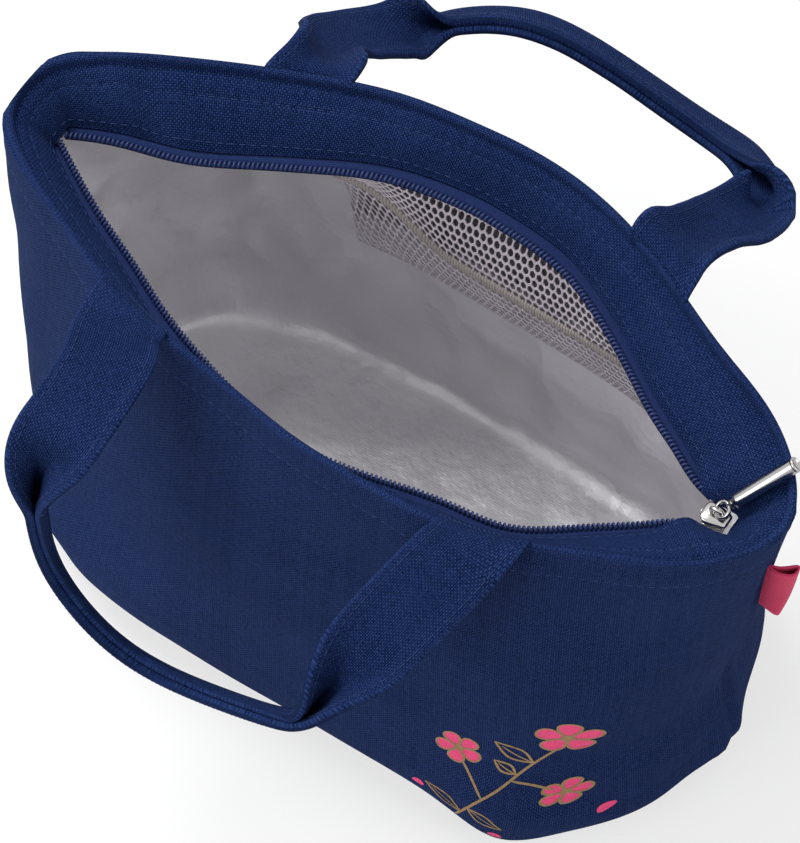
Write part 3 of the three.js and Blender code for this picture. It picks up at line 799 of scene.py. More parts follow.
# Facing band from the rim to the zip
FACING_ROWS = 26
FACING_SEAM = (3.1, -2.6)
FIRST_FACING_ROW = len(RIM_INSIDE)
STITCH_ROW = 8
ZIP_COVER_LEFT = -129.5
ZIP_COVER_RIGHT = 127.0
SLIDER_ROOM = 4.7
# The band's free edge turns under itself: distance from the zip and height, from its edge
FACING_LIP = ((-0.25, -0.2), (-0.2, -0.55), (0.6, -0.75), (3.0, -0.75))


def facing_edge(side):
    """The line where the band meets the zip: it covers the zip's left end and leaves room for the slider."""
    edge = half_curve(zip_section(FACING_LOW, FACING_REACH), side)
    sway(edge, side, rise(np.abs(edge[:, 1]), 0, 8))
    cover = np.maximum(ZIP_COVER_LEFT - edge[:, 0], 0.0)
    edge[:, 0] += cover
    edge[:, 2] += 0.8 + 1.3 * rise(cover, 0, 2)
    depth = np.abs(edge[:, 1])
    edge[:, 1] = side * mix(depth, np.minimum(depth, SLIDER_ROOM), rise(edge[:, 0], 106, 115))
    edge[:, 0] = np.minimum(edge[:, 0], ZIP_COVER_RIGHT)
    return edge


def facing_points(side):
    """Rows from the rim's crest down to the zip tape, and under it."""
    fold = [rim_row(side, *step) for step in RIM_INSIDE]
    rim = rim_row(side, *FACING_SEAM)
    edge = facing_edge(side)
    inward = -outward(rim, side)
    rows = []
    for k in range(FACING_ROWS + 1):
        v = k / FACING_ROWS
        arch = math.sin(math.pi * v)
        row = mix(rim, edge, v)
        slack = 1.3 * rumple(row, 34.0, 20 + side) + 0.6 * rumple(row, 14.0, 22 + side)
        swell = slack * rise(np.abs(rim[:, 1]), 0, 14) * arch - 0.45 * (k == STITCH_ROW)
        swell += 1.9 * arch ** 0.8 + 0.4 * bell(v, 0.14, 0.07)
        row = row + inward * (0.6 * swell)[:, None]
        row[:, 2] += 0.7 * swell
        rows.append(row)
    points = np.array(rows)
    if side > 0:
        # A crease that slants across the band's left end
        v = np.linspace(0, 1, FACING_ROWS + 1)[:, None]
        crease = bell(points[..., 0], -126 + 18 * v, 3.5) - 0.9 * bell(points[..., 0], -117 + 18 * v, 5.0)
        points[..., 2] += 2.4 * crease * np.sin(math.pi * (0.9 * v + 0.05))
    away = outward(edge, side)
    lip = [edge + away * reach + np.array([0, 0, lift]) for reach, lift in FACING_LIP]
    return np.concatenate([fold, points, lip])


def make_facing(side):
    points = facing_points(side)
    v = np.clip((np.arange(len(points)) - FIRST_FACING_ROW) / FACING_ROWS, 0, 1)[:, None]
    weight = rise(v, 0, 1) * row_weight(points[FIRST_FACING_ROW + FACING_ROWS][:, 0], side)
    wear = 0.8 * rise(points[..., 2], BAG_HEIGHT - 0.4, BAG_HEIGHT + 1.0)
    normal = -side * grid_normals(points)
    piece = Piece()
    piece.grid(points, grid_uv(points), flip=side > 0, weight=weight, wear=wear)
    for k in (FIRST_FACING_ROW + STITCH_ROW, FIRST_FACING_ROW + FACING_ROWS - 3):
        add_stitches(piece, points[k], normal[k], weight[k])
    # Close stitches where each strap end is sewn down
    for root in HANDLE_ROOTS:
        near = np.abs(points[FIRST_FACING_ROW][:, 0] - root) < STRAP_WIDTH / 2 - 2
        for k in (FIRST_FACING_ROW + STITCH_ROW - 1, FIRST_FACING_ROW + STITCH_ROW + 1):
            add_stitches(piece, points[k][near], normal[k][near], weight[k][near], length=0.9, gap=0.7)
    obj = piece.make(f"facing_{WORDS[side]}_canvas", CANVAS_CLOTH, NAVY_THREAD)
    start, end = (0, side * RIM_HALF_DEPTH, BAG_HEIGHT), (0, side * MOUTH_DEPTH, FACING_LOW)
    piece.blend(obj, "bag", f"{WORDS[side]}_mouth", start, end)
    dress(f"facing_{WORDS[side]}")


# Zip rows. The tape's profile: distance from the row's middle and height
TAPE_PROFILE = (
    (-0.9, -0.45), (-0.2, -0.45), (0.5, -0.4), (1.3, 0.1), (2.0, 0.5), (2.7, 0.5), (3.6, 0.4), (4.6, 0.35),
    (5.6, 0.3), (6.8, 0.2), (8.2, 0.1), (9.6, 0.0))
TAPE_STEP = 1.5
TAPE_THICKNESS = 0.5
ROW_HALF_GAP = 0.3
COIL_TURN_STEPS = 10
COIL_WIRE_SIDES = 6


def zip_row(side, offset=0.0, step=0.5):
    """A line along a zip row, further from the middle of the bag by the offset."""
    x = np.linspace(coil_low[0], coil_high[0], FINE)
    depth = row_line(x, side)
    slope = np.gradient(depth, x)
    size = np.hypot(1, slope)
    y = side * np.maximum(depth + offset / size, ROW_HALF_GAP)
    return stepped(np.stack([x - offset * slope / size, y, ZIP_LEVEL + swells(x, ROW_LIFT)], axis=1), step)


def make_tape(side):
    middle = zip_row(side, step=TAPE_STEP)
    points = np.array([even(zip_row(side, offset), len(middle) - 1) for offset, _ in TAPE_PROFILE])
    points[..., 2] += np.array([lift for _, lift in TAPE_PROFILE])[:, None]
    weight = np.broadcast_to(row_weight(middle[:, 0], side), points.shape[:2])
    piece = Piece()
    piece.grid(points, grid_uv(points), flip=side < 0, weight=weight)
    obj = piece.make(f"zip_{WORDS[side]}_tape", TAPE)
    thicken(obj, TAPE_THICKNESS)
    piece.close(obj, side)
    dress(f"zip_tape_{WORDS[side]}")


def make_coil(side):
    line = zip_row(side, step=0.25)
    turns = int(arc_lengths(line)[-1] / COIL_PITCH)
    centre = even(line, turns * COIL_TURN_STEPS)
    ahead = unit(np.gradient(centre, axis=0))
    up = np.array([0.0, 0.0, 1.0])
    aside = unit(np.cross(ahead, up)) * -side
    turn = np.linspace(0, 2 * math.pi * turns, len(centre))[:, None]
    wide, high = COIL_WIDTH / 2 - COIL_WIRE, COIL_HEIGHT / 2 - COIL_WIRE
    path = centre - aside * wide * np.cos(turn) + up * (high * np.sin(turn) + COIL_RAISE)
    forward = unit(np.gradient(path, axis=0))
    side_way = unit(np.cross(forward, ahead))
    rings = hoops(path, side_way, unit(np.cross(forward, side_way)), COIL_WIRE, COIL_WIRE_SIDES)
    piece = Piece()
    piece.grid(rings, ring=True, weight=np.repeat(row_weight(centre[:, 0], side), COIL_WIRE_SIDES))
    obj = piece.make(f"zip_{WORDS[side]}_coil", COIL)
    piece.close(obj, side)
    dress(f"zip_coil_{WORDS[side]}")


# Handles: a strap that lies flat at its ends and is folded in half, edges up, along the grip.
# Points are along the bag, away from it and up, from a root, and from the left root for the grip.
HANDLES = {
    -1: {
        "shift": (-2.0, 3.0),
        "left": ((0, 0, 0), (0, 8, 2), (3, 20, 8), (2, 36, 8), (0, 48, 3), (-1.5, 53, -6)),
        "right": ((0, 0, 0), (0, 8, 2), (-6, 25, -13), (-12, 42, -30), (-16, 56, -41), (-18.5, 61, -50)),
        "grip": ((0, 58, -40), (10, 61, -66), (33, 64, -76), (72, 64, -68), (101, 64, -60)),
        # Moves of the line: share of its length and how far
        "ease": ((0.17, (6.4, 0.5, 0)), (0.30, (3.4, 0, 4)), (0.56, (0, -2, -6)), (0.72, (0, 0, 2.5))),
        # Where the fold starts before the grip and ends past it, and how long each takes
        "fold": ((22.0, 48.0), (44.0, 50.0)),
        # Folds in the legs: place, width and depth
        "pinch": (),
        "faces": (0.26, -0.39, 0.88),
    },
    1: {
        "shift": (-3.0, -1.5),
        "left": ((0, 0, 0), (0, 8, 2), (-8, 23, -11), (-8, 40, -25), (0, 55, -37), (5, 61, -40)),
        "right": ((0, 0, 0), (0, 8, 2), (3, 21, -4), (6, 39, -14), (8, 54, -24), (6, 62, -29)),
        "grip": ((25, 73, -43), (45, 82, -50), (75, 85, -51), (101, 82, -48), (122, 75, -38)),
        "ease": (
            (0.12, (-1, 0, -6)), (0.27, (0, 0, -6)), (0.39, (0, 0, 11.5)), (0.56, (0, 0, -1.5)),
            (0.74, (-0.4, 0, -3.5))),
        "fold": ((20.0, 30.0), (48.0, 80.0)),
        "pinch": ((27.0, 22.0, 0.52), (284.0, 22.0, 0.40)),
        "faces": (0.20, -0.95, 0.68),
    },
}
FOLD_BEND = 3.4
FOLD_TURN = math.radians(92.5)
EASE_WIDTH = 0.11
PATH_STEP = 0.8
PATH_SOFTNESS = 11.0
HALF_SECTION_STEPS = 23
STITCH_INSET = 2.4
# Where a strap's end lies between the layers of the rim: inset from the rim's line and height over it
ROOT_TUCK = ((1.5, -6.5), (1.5, -1.0), (0.9, 2.0))
# Lengths from a root over which the strap lets go of the rim: its slant, its thinness and its stiffness
SLANT_REACH = (28.0, 6.0)
THIN_REACH = (7.0, 13.0)
STIFF_REACH = (28.0, 53.0)
TUCKED_THIN = 0.55
# Lengths over which the strap turns to the grip's way, and over which it bends with the handle
TWIST_ON_LEG = 14.0
TWIST_ON_GRIP = 10.0
ROOT_BEND = (4.0, 14.0)
ROOT_BEND_RING = 10
GRIP_BEND = 14.0
GRIP_BEND_RING = 12
# Added to the place across the strap on its lower face, so that each face has its own weave
LOWER_FACE = 100.0


def route(points, step=PATH_STEP):
    """A smooth line through the points, with knots spaced by the root of their distance."""
    points = np.array(points, float)
    padded = np.concatenate([[2 * points[0] - points[1]], points, [2 * points[-1] - points[-2]]])
    w = np.linspace(0, 1, 24, endpoint=False)[:, None]
    line = []
    for i in range(len(points) - 1):
        p0, p1, p2, p3 = padded[i:i + 4]
        d0, d1, d2 = np.sqrt(lengths(padded[i:i + 4]))
        t1 = ((p1 - p0) / d0 - (p2 - p0) / (d0 + d1) + (p2 - p1) / d1) * d1
        t2 = ((p2 - p1) / d1 - (p3 - p1) / (d1 + d2) + (p3 - p2) / d2) * d1
        square, cube = 3 * (p2 - p1) - 2 * t1 - t2, 2 * (p1 - p2) + t1 + t2
        line.append(p1 + t1 * w + square * w ** 2 + cube * w ** 3)
    return stepped(np.concatenate([*line, points[-1:]]), step)


def strap_ring(fold):
    """Outline of a strap whose halves rise to each other by the fold, and the place across it when flat."""
    half = STRAP_WIDTH / 2
    q = np.linspace(0, half, HALF_SECTION_STEPS)
    angle = FOLD_TURN * fold * rise(q, 0, mix(half, FOLD_BEND, rise(1.3 * fold, 0, 1)))
    middle = (angle[1:] + angle[:-1]) / 2
    x = np.concatenate([[0.0], np.cumsum(np.cos(middle) * np.diff(q))])
    h = np.concatenate([[0.0], np.cumsum(np.sin(middle) * np.diff(q))]) - fold * half / 2
    h = np.concatenate([h[:0:-1], h])
    q, x, angle = (np.concatenate([-values[:0:-1], values]) for values in (q, x, angle))
    hem = STRAP_THICKNESS / 2 * (1 + mix(0.25, 0.45, fold) * bell(np.abs(q), half - 2.0, 2.4))
    centre = np.stack([x, h], axis=1)
    away = np.stack([-np.sin(angle), np.cos(angle)], axis=1) * hem[:, None]
    ahead = 0.5 * np.stack([np.cos(angle), np.sin(angle)], axis=1)
    end, start = centre[-1] + ahead[-1], centre[0] - ahead[0]
    loop = np.concatenate([centre + away, [end], (centre - away)[::-1], [start]])
    return loop, np.concatenate([q, [q[-1]], q[::-1] + LOWER_FACE, [q[0]]])


def soften(line):
    """The line with its bends rounded."""
    reach = int(2.2 * PATH_SOFTNESS / PATH_STEP)
    kernel = bell(np.arange(-reach, reach + 1) * PATH_STEP, 0, PATH_SOFTNESS)
    padded = np.pad(line, ((reach, reach), (0, 0)), mode="edge")
    return np.stack([np.convolve(column, kernel / kernel.sum(), "valid") for column in padded.T], axis=1)


def strap_path(side):
    """The strap's line from root to root, and the lengths along it where the grip starts and ends."""
    handle = HANDLES[side]

    def place(root, points):
        start = np.array([root, side * rim_depth(HANDLE_SPAN / 2), ROOT_HEIGHT])
        return start + np.array(points) * np.array([1, side, 1])

    def leg(root, points, shift):
        """Starts a leg between the two layers of the rim, and moves its root along the rim."""
        points = place(root, points)
        x = root + shift
        root_y = side * rim_line(x, side)
        steps = np.arange(len(points))
        move = root_y - points[0][1]
        points[:, 0] += shift * (1 - rise(steps, 0, 4))
        points[:, 1] += move * (1 - rise(steps, 0, 3))
        tucked = [(x, root_y - side * inset, BAG_HEIGHT + lift) for inset, lift in ROOT_TUCK]
        line = route([*tucked, *points[1:]])
        return line, points[-1] + unit(line[-1] - line[-2]) * GRIP_LEAD

    left, left_lead = leg(HANDLE_ROOTS[0], handle["left"], handle["shift"][0])
    right, right_lead = leg(HANDLE_ROOTS[1], handle["right"], handle["shift"][1])
    grip = route([left[-1], left_lead, *place(HANDLE_ROOTS[0], handle["grip"]), right_lead, right[-1]])
    line = np.concatenate([left, grip[1:], right[::-1][1:]])
    along = arc_lengths(line)
    for share, move in handle["ease"]:
        line = line + np.array(move) * bell(along / along[-1], share, EASE_WIDTH)[:, None]
    free = rise(along, *STIFF_REACH) * rise(along[-1] - along, *STIFF_REACH)
    line = mix(line, soften(line), free[:, None])
    along = arc_lengths(line)
    return line, along, (along[len(left) - 1], along[len(left) + len(grip) - 2])


def strap_frame(line, along, ends, side):
    """Across and outside directions at each step of the strap."""
    ahead = unit(np.gradient(line, axis=0))
    leg_way = np.array([-side, 0.0, 0.0])
    grip_way = unit(np.cross(HANDLES[side]["faces"], ahead))
    to_grip = rise(along, ends[0] - TWIST_ON_LEG, ends[0] + TWIST_ON_GRIP)[:, None]
    to_leg = rise(along, ends[1] - TWIST_ON_GRIP, ends[1] + TWIST_ON_LEG)[:, None]
    across = mix(mix(leg_way, grip_way, to_grip), -leg_way, to_leg)
    outside = unit(np.cross(ahead, across))
    return unit(np.cross(outside, ahead)), outside


def strap_points(side):
    """The strap's rings from root to root, with what each carries."""
    line, along, ends = strap_path(side)
    across, outside = strap_frame(line, along, ends, side)
    (lead_in, length_in), (lead_out, length_out) = HANDLES[side]["fold"]
    fold = rise(along, ends[0] - lead_in, ends[0] - lead_in + length_in)
    fold = fold * rise(along, ends[1] + lead_out, ends[1] + lead_out - length_out)
    for place, width, depth in HANDLES[side]["pinch"]:
        fold = np.maximum(fold, depth * bell(along, place, width))
    line, along, across, outside, fold = (values[::2] for values in (line, along, across, outside, fold))
    loops, places = zip(*(strap_ring(share) for share in fold))
    loops = np.array(loops)
    points = line[:, None] + across[:, None] * loops[..., :1] + outside[:, None] * loops[..., 1:]
    loose = 0.35 + 2.4 * (fold * (1 - fold))[:, None]
    points += outside[:, None] * (loose * rumple(points, 15.0, 30 + side))[..., None]
    follow_rim(points, along, side)
    return points, along, ends, places[0]


def follow_rim(points, along, side):
    """Slants the strap's two ends so that they run along the rim, and thins them where they are tucked."""
    from_end = np.minimum(along, along[-1] - along)
    x = points[..., 0]
    slant = rim_line(x, side) - rim_line(x.mean(axis=1, keepdims=True), side)
    points[..., 1] += side * slant * rise(from_end, *SLANT_REACH)[:, None]
    thin = mix(TUCKED_THIN, 1.0, rise(from_end, *THIN_REACH))[:, None, None]
    centre = (points + points[:, ::-1]) / 2
    points[:] = centre + (points - centre) * thin


def strap_stitches(piece, part, places, share):
    """Two rows of stitches near the strap's edges, on both of its faces."""
    for q in (STITCH_INSET - STRAP_WIDTH / 2, STRAP_WIDTH / 2 - STITCH_INSET):
        for face in (0, LOWER_FACE):
            col = int(np.argmin(np.abs(places - face - q)))
            line = part[:, col]
            across = part[:, (col + 1) % part.shape[1]] - part[:, col - 1]
            normal = unit(np.cross(across, np.gradient(line, axis=0)))
            add_stitches(piece, line, normal, share, length=2.4, gap=1.2)


def make_handle(side):
    word = WORDS[side]
    points, along, ends, places = strap_points(side)
    uv = np.stack(np.meshgrid(places, along), axis=2)
    across = np.where(places > LOWER_FACE / 2, places - LOWER_FACE, places)
    wear = np.broadcast_to(0.9 * rise(np.abs(across), 12.9, 13.9), points.shape[:2])
    root_share = rise(along, *ROOT_BEND) * rise(along[-1] - along, *ROOT_BEND)
    grip_share = rise(along, ends[0], ends[0] + GRIP_BEND) * rise(along, ends[1], ends[1] - GRIP_BEND)
    first, last = (int(np.argmin(np.abs(along - end))) for end in ends)
    spans = {"left_leg": (0, first), "grip": (first, last), "right_leg": (last, len(along) - 1)}
    for name, (start, end) in spans.items():
        span = slice(start, end + 1)
        part = points[span]
        share = (grip_share if name == "grip" else root_share)[span]
        piece = Piece()
        piece.tube(part, uv[span], np.repeat(share[:, None], part.shape[1], axis=1), wear[span])
        strap_stitches(piece, part, places, share)
        obj = piece.make(f"{word}_strap_{name}", STRAP_CLOTH, NAVY_THREAD)
        if name == "grip":
            bodies, rings = (f"{word}_handle", f"{word}_grip"), (part[0], part[GRIP_BEND_RING])
        else:
            bodies, rings = ("bag", f"{word}_handle"), (points[0], points[ROOT_BEND_RING])
        piece.blend(obj, *bodies, *(ring.mean(axis=0) for ring in rings))
        dress(f"{word}_handle_{name}")
        (along[end] - along[start]) * MM


# Net pocket on the back lining
POCKET_ROOM = 9.0
POCKET_SEAT = 3.1
POCKET_FULLNESS = 0.6
CORNER_LENGTH = 46.0
CELL_WIDTH = 2.6
CELL_HEIGHT = 5.4
NET_STRAND = 0.3
NET_THICKNESS = 0.5
NET_WELD = 0.02
# Corners of a cell, as shares of its width and of the pitch of the rows
CELL = ((0, 0.667), (0.5, 0.333), (0.5, -0.333), (0, -0.667), (-0.5, -0.333), (-0.5, 0.333))
# The binding's section: how far it stands off the net, and the share of its height
BINDING_SECTION = (
    (0.7, 0.06), (1.0, 0.14), (1.0, 0.86), (0.7, 0.95), (0.0, 1.0), (-0.7, 0.95), (-0.7, 0.05), (0.0, 0.0))
BINDING_STEPS = 90


def lining_depth(x, z):
    section = lining_section(z)
    share = min(1.0, abs((x - section[5]) / section[1]))
    return section[2] * (1 - share ** section[3]) ** (1 / section[4])


def pocket_point(x, z, stand):
    def fullness(share):
        return math.sin(math.pi * min(1.0, max(0.0, share))) ** POCKET_FULLNESS

    room = POCKET_ROOM * fullness((x - POCKET_LEFT) / (POCKET_RIGHT - POCKET_LEFT))
    room *= fullness((z - POCKET_BOTTOM) / (POCKET_TOP - POCKET_BOTTOM))
    high = rise(z, foam_top, LINING_TOP)
    depth = lining_depth(x, z) - POCKET_SEAT - room - stand + swells(x, ROW_WAVE[1]) * high
    return (x, depth, z + swells(x, ROW_LIFT) * high)


def net_point(x, z, stand):
    """A point of the pocket: its binding climbs to the zip at the pocket's left end."""
    climb = rise(x, POCKET_LEFT + CORNER_LENGTH, POCKET_LEFT) * (POCKET_TOP - BINDING_HIGH - 1.0)
    if z > BINDING_HIGH:
        share = (POCKET_TOP - z) / (POCKET_TOP - BINDING_HIGH)
    else:
        share = min(1.0, (z - POCKET_BOTTOM) / (BINDING_LOW - POCKET_BOTTOM))
    return pocket_point(x, z + climb * share, stand)


def cell_faces():
    """Front, back, inner and outer faces of a six-sided ring of yarn."""
    faces = []
    for i in range(6):
        j = (i + 1) % 6
        faces += [
            [i, j, 6 + j, 6 + i], [12 + i, 18 + i, 18 + j, 12 + j], [6 + i, 6 + j, 18 + j, 18 + i],
            [j, i, 12 + i, 12 + j]]
    return faces


def make_net(name, low, high, node):
    """Hexagonal mesh: each cell is a ring of yarn, joined to its neighbours."""
    across = int(round((POCKET_RIGHT - POCKET_LEFT) / CELL_WIDTH))
    width = (POCKET_RIGHT - POCKET_LEFT) / across
    rows = int(round((high - low) / (CELL_HEIGHT * 0.75)))
    pitch = (high - low) / rows
    hole = 1 - 2 * NET_STRAND / width
    piece = Piece()
    for r in range(rows):
        for c in range(across - r % 2):
            x = POCKET_LEFT + (c + 0.5 + 0.5 * (r % 2)) * width
            z = low + (r + 0.5) * pitch
            outer = [(x + a * width, min(max(z + b * pitch, low), high)) for a, b in CELL]
            inner = [(x + (a - x) * hole, z + (b - z) * hole) for a, b in outer]
            stands = (-NET_THICKNESS / 2, NET_THICKNESS / 2)
            points = np.array([net_point(a, b, stand) for stand in stands for a, b in (*outer, *inner)])
            piece.add(points, cell_faces(), weight=mouth_share(points, 1))
    obj = piece.make(name, NET)
    merge = obj.modifiers.new("joined cells", "WELD")
    merge.merge_threshold = NET_WELD * MM
    piece.hang(obj, 1)
    dress(node)


def make_binding():
    """Ribbed tape over the pocket's edge, folded round it."""
    rings = []
    for x in np.linspace(POCKET_LEFT - 1, POCKET_RIGHT + 1, BINDING_STEPS):
        wave = 0.025 * math.sin(x * 0.9)
        rings.append([net_point(x, mix(BINDING_LOW, BINDING_HIGH, b), a + wave) for a, b in BINDING_SECTION])
    points = np.array(rings)
    along = np.linspace(POCKET_LEFT, POCKET_RIGHT, BINDING_STEPS)
    uv = np.stack(np.meshgrid(np.arange(len(BINDING_SECTION)) * 2.0, along), axis=2)[..., ::-1]
    piece = Piece()
    piece.tube(points, uv, mouth_share(points, 1))
    obj = piece.make("pocket_binding_tape", BINDING)
    piece.hang(obj, 1)
    dress("pocket_binding")


# Slider and pull. Points of the slider are from its middle.
PULL_PIVOT = joint_place("pull_hinge")
SLIDER_X = PULL_PIVOT[0]
PULL_YAW = math.radians(47)
PULL_LIFT = math.radians(44)
# Half of a heart-like plate: two shoulders at the mouth, drawn in towards the tail
SLIDER_HALF = (
    (-5.5, 0.6), (-5.45, 2.2), (-5.1, 3.8), (-4.2, 5.0), (-2.8, 5.5), (-1.0, 5.4), (1.0, 4.9), (3.0, 4.25),
    (4.6, 3.85), (5.3, 3.3), (5.5, 2.2), (5.5, 0.8))
SLIDER_SHAPE = np.array([0.86, 0.73])
SLIDER_CLEARANCE = 0.6
# The lower plate: share of the outline, and its two faces from the underside of the coil
SOLE_SHARE = 0.82
SOLE_LEVELS = (-1.7, -0.3)
SLIDER_POST = ((-5.1, -1.1), (-5.1, 1.1), (-2.6, 1.1), (-2.6, -1.1))
POST_HALF = 1.6
POST_EDGE = 0.2
# The upper plate from its edge to its middle: share of the outline and height
DOME = (
    (0.9, 0.0), (0.98, 0.15), (1.0, 0.5), (0.97, 0.85), (0.88, 1.15), (0.7, 1.4), (0.4, 1.55), (0.001, 1.6))
CROWN = (
    (-2.0, 0, -0.4), (-2.05, 0, 1.6), (-1.5, 0, 2.65), (0, 0, 3.0), (1.5, 0, 2.65), (2.05, 0, 1.6),
    (2.0, 0, -0.4))
CROWN_RAISE = 1.4
CROWN_WIRE = 0.7
FLANGE = ((-3.2, 3.7, 0), (-1.0, 3.7, 0), (2.0, 3.0, 0), (3.8, 2.6, 0))
FLANGE_WIRE = 0.4
PULL_LENGTH = 33.3
LINK_RADIUS = 2.6
LINK_WIRE = 0.68
BAR_LENGTH = PULL_LENGTH - 2 * LINK_RADIUS - LINK_WIRE
# The bar's eye: its middle from the bar's start, its half length, half height and wire
EYE_MIDDLE = 0.7
EYE_HALF_LENGTH = 1.3
EYE_HALF_HEIGHT = 1.15
EYE_WIRE = 0.4
# The bar's radius and distance from its start, and at its tip the distance from its end
BAR_NECK = (
    (0.0, 0.2), (1.1, 0.2), (1.6, 0.45), (1.75, 0.9), (1.7, 1.5), (1.75, 1.9), (2.2, 2.5), (2.45, 3.1),
    (2.5, 3.6), (2.5, 4.0))
BAR_TIP = (
    (2.5, 1.2), (2.5, 0.9), (2.58, 0.8), (2.6, 0.35), (2.5, 0.1), (2.3, 0.0), (2.1, 0.05), (1.95, 0.5),
    (0.0, 0.55))
BAR_SIDES = 40
WIRE_SIDES = 12
LOOP_STEPS = 48
STOP_ROUNDING = 0.4


def add_bar(piece, profile, place, ahead, up):
    """Turns (radius, distance) points about a line."""
    radius, distance = np.array(profile).T
    same = np.ones((len(profile), 1))
    centre = place + distance[:, None] * ahead
    piece.grid(hoops(centre, same * np.cross(ahead, up), same * up, radius, BAR_SIDES), ring=True)


def add_wire(piece, line, radius, closed=False):
    """A round wire along a line that lies in one plane."""
    ahead = np.roll(line, -1, axis=0) - np.roll(line, 1, axis=0) if closed else np.gradient(line, axis=0)
    plane = unit(np.linalg.svd(line - line.mean(axis=0))[2][2])
    up = np.broadcast_to(plane, line.shape)
    rings = hoops(line, unit(np.cross(unit(ahead), up)), up, radius, WIRE_SIDES)
    if closed:
        piece.grid(np.concatenate([rings, rings[:1]]), ring=True)
    else:
        piece.tube(rings)


def level(outline, share, z):
    """A closed outline drawn in towards its middle, at a height."""
    middle = outline.mean(axis=0)
    return np.concatenate([middle + (outline - middle) * share, np.full((len(outline), 1), z)], axis=1)


def add_plate(piece, outline, low, high, edge=0.45):
    """A flat plate with rounded edges."""
    reach = np.linalg.norm(outline - outline.mean(axis=0), axis=1, keepdims=True)
    turns = np.linspace(0, math.pi / 2, 4)
    levels = [(edge * (1 - math.sin(turn)), low + edge * (1 - math.cos(turn))) for turn in turns]
    levels += [(inset, high + low - z) for inset, z in levels[::-1]]
    piece.tube(np.array([level(outline, 1 - inset / reach, z) for inset, z in levels]))


def make_slider():
    piece = Piece()
    place = np.array([SLIDER_X, 0.0])
    half = [(x, y, 0) for x, y in SLIDER_HALF]
    other = [(x, -y, 0) for x, y in SLIDER_HALF[::-1]]
    outline = route([*half, *other, half[0]], 0.5)[:-1, :2] * SLIDER_SHAPE + place
    low, under = ZIP_LEVEL + COIL_HEIGHT / 2 + SLIDER_CLEARANCE, ZIP_LEVEL - COIL_HEIGHT / 2
    piece.grid(np.array([level(outline, share, low + lift) for share, lift in DOME]), ring=True)
    add_plate(piece, level(outline, SOLE_SHARE, 0)[:, :2], *(under + z for z in SOLE_LEVELS))
    post = np.array(SLIDER_POST) + place
    add_plate(piece, post, ZIP_LEVEL - POST_HALF, ZIP_LEVEL + POST_HALF, POST_EDGE)
    add_wire(piece, route(CROWN, 0.4) + np.array([SLIDER_X, 0, low + CROWN_RAISE]), CROWN_WIRE)
    for way in (-1, 1):
        flange = route(np.array(FLANGE) * np.array([1, way, 1]), 0.6)
        add_wire(piece, flange + np.array([SLIDER_X, 0, low]), FLANGE_WIRE)
    obj = piece.make("zip_slider_chrome", CHROME)
    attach(obj, "zip_slider")
    dress("zip_slider_body")


def make_pull():
    flat = math.cos(PULL_LIFT)
    ahead = np.array([flat * math.cos(PULL_YAW), flat * math.sin(PULL_YAW), math.sin(PULL_LIFT)])
    aside = np.array([-math.sin(PULL_YAW), math.cos(PULL_YAW), 0.0])
    up = np.cross(ahead, aside)
    turn = np.linspace(0, 2 * math.pi, LOOP_STEPS, endpoint=False)[:, None]
    ring, bar = Piece(), Piece()
    loop = PULL_PIVOT + LINK_RADIUS * (ahead * (1 - np.cos(turn)) + aside * np.sin(turn))
    add_wire(ring, loop, LINK_WIRE, closed=True)
    start = PULL_PIVOT + ahead * (2 * LINK_RADIUS + LINK_WIRE)
    add_bar(bar, [*BAR_NECK, *((radius, BAR_LENGTH - back) for radius, back in BAR_TIP)], start, ahead, up)
    eye = ahead * (EYE_MIDDLE - EYE_HALF_LENGTH * np.cos(turn)) + up * (EYE_HALF_HEIGHT * np.sin(turn))
    add_wire(bar, start + eye, EYE_WIRE, closed=True)
    pieces = ((ring, "zip_pull_ring", "zip_pull_link"), (bar, "zip_pull_chrome", "zip_pull_bar"))
    for piece, name, node in pieces:
        obj = piece.make(name, CHROME)
        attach(obj, "pull_tab")
        dress(node)


def dress_stops():
    """The small stops keep their solids, with rounded edges, and are dyed as the coil is."""
    for node in ("zip_top_stop_front", "zip_top_stop_back", "zip_bottom_stop"):
        obj = frame["nodes"][node]
        obj.data.materials.clear()
        obj.data.materials.append(COIL)
        edge = obj.modifiers.new("rounded edges", "BEVEL")
        edge.width = STOP_ROUNDING * MM
        edge.segments = 3


# Print on the front wall: a flowering sprig in gold lines and pink, placed from the middle of the print
PRINT_X, PRINT_Z = 88.0, 50.0
PRINT_LIFT = 0.16
GOLD, PINK = 0, 1
STEM_LINE = 1.0
LEAF_LINE = 0.9
VEIN_LINE = 0.6
PETAL_LINE = 0.8
# Shares of a petal's length
PETAL_HALF_WIDTH = 0.46
HEART_RADIUS = 0.22
STEMS = (
    ((-12, -33), (-6, -18), (2, -4), (8, 8), (15, 20)),
    ((-3, -12), (-8, -5), (-13, 2)),
    ((4, 0), (11, -1), (17, -4)),
)
# Start, tip and half width
LEAVES = (
    ((-9, -26), (-24, -20), 3.4), ((-7, -20), (6, -26), 3.2), ((9, 10), (-4, 19), 3.2),
    ((5, 3), (-3, 8), 2.2))
# Middle, length of a petal and turn
FLOWERS = (((17, 27), 9.5, 0.3), ((-15, 8), 8.0, 0.9), ((20, -6), 6.5, 0.1))
# Place and turn, and their length and half width
FALLEN_PETALS = (((-30, -26), 0.5), ((6, -36), 2.4), ((30, -24), 1.2))
FALLEN_SIZE = (6.0, 2.6)


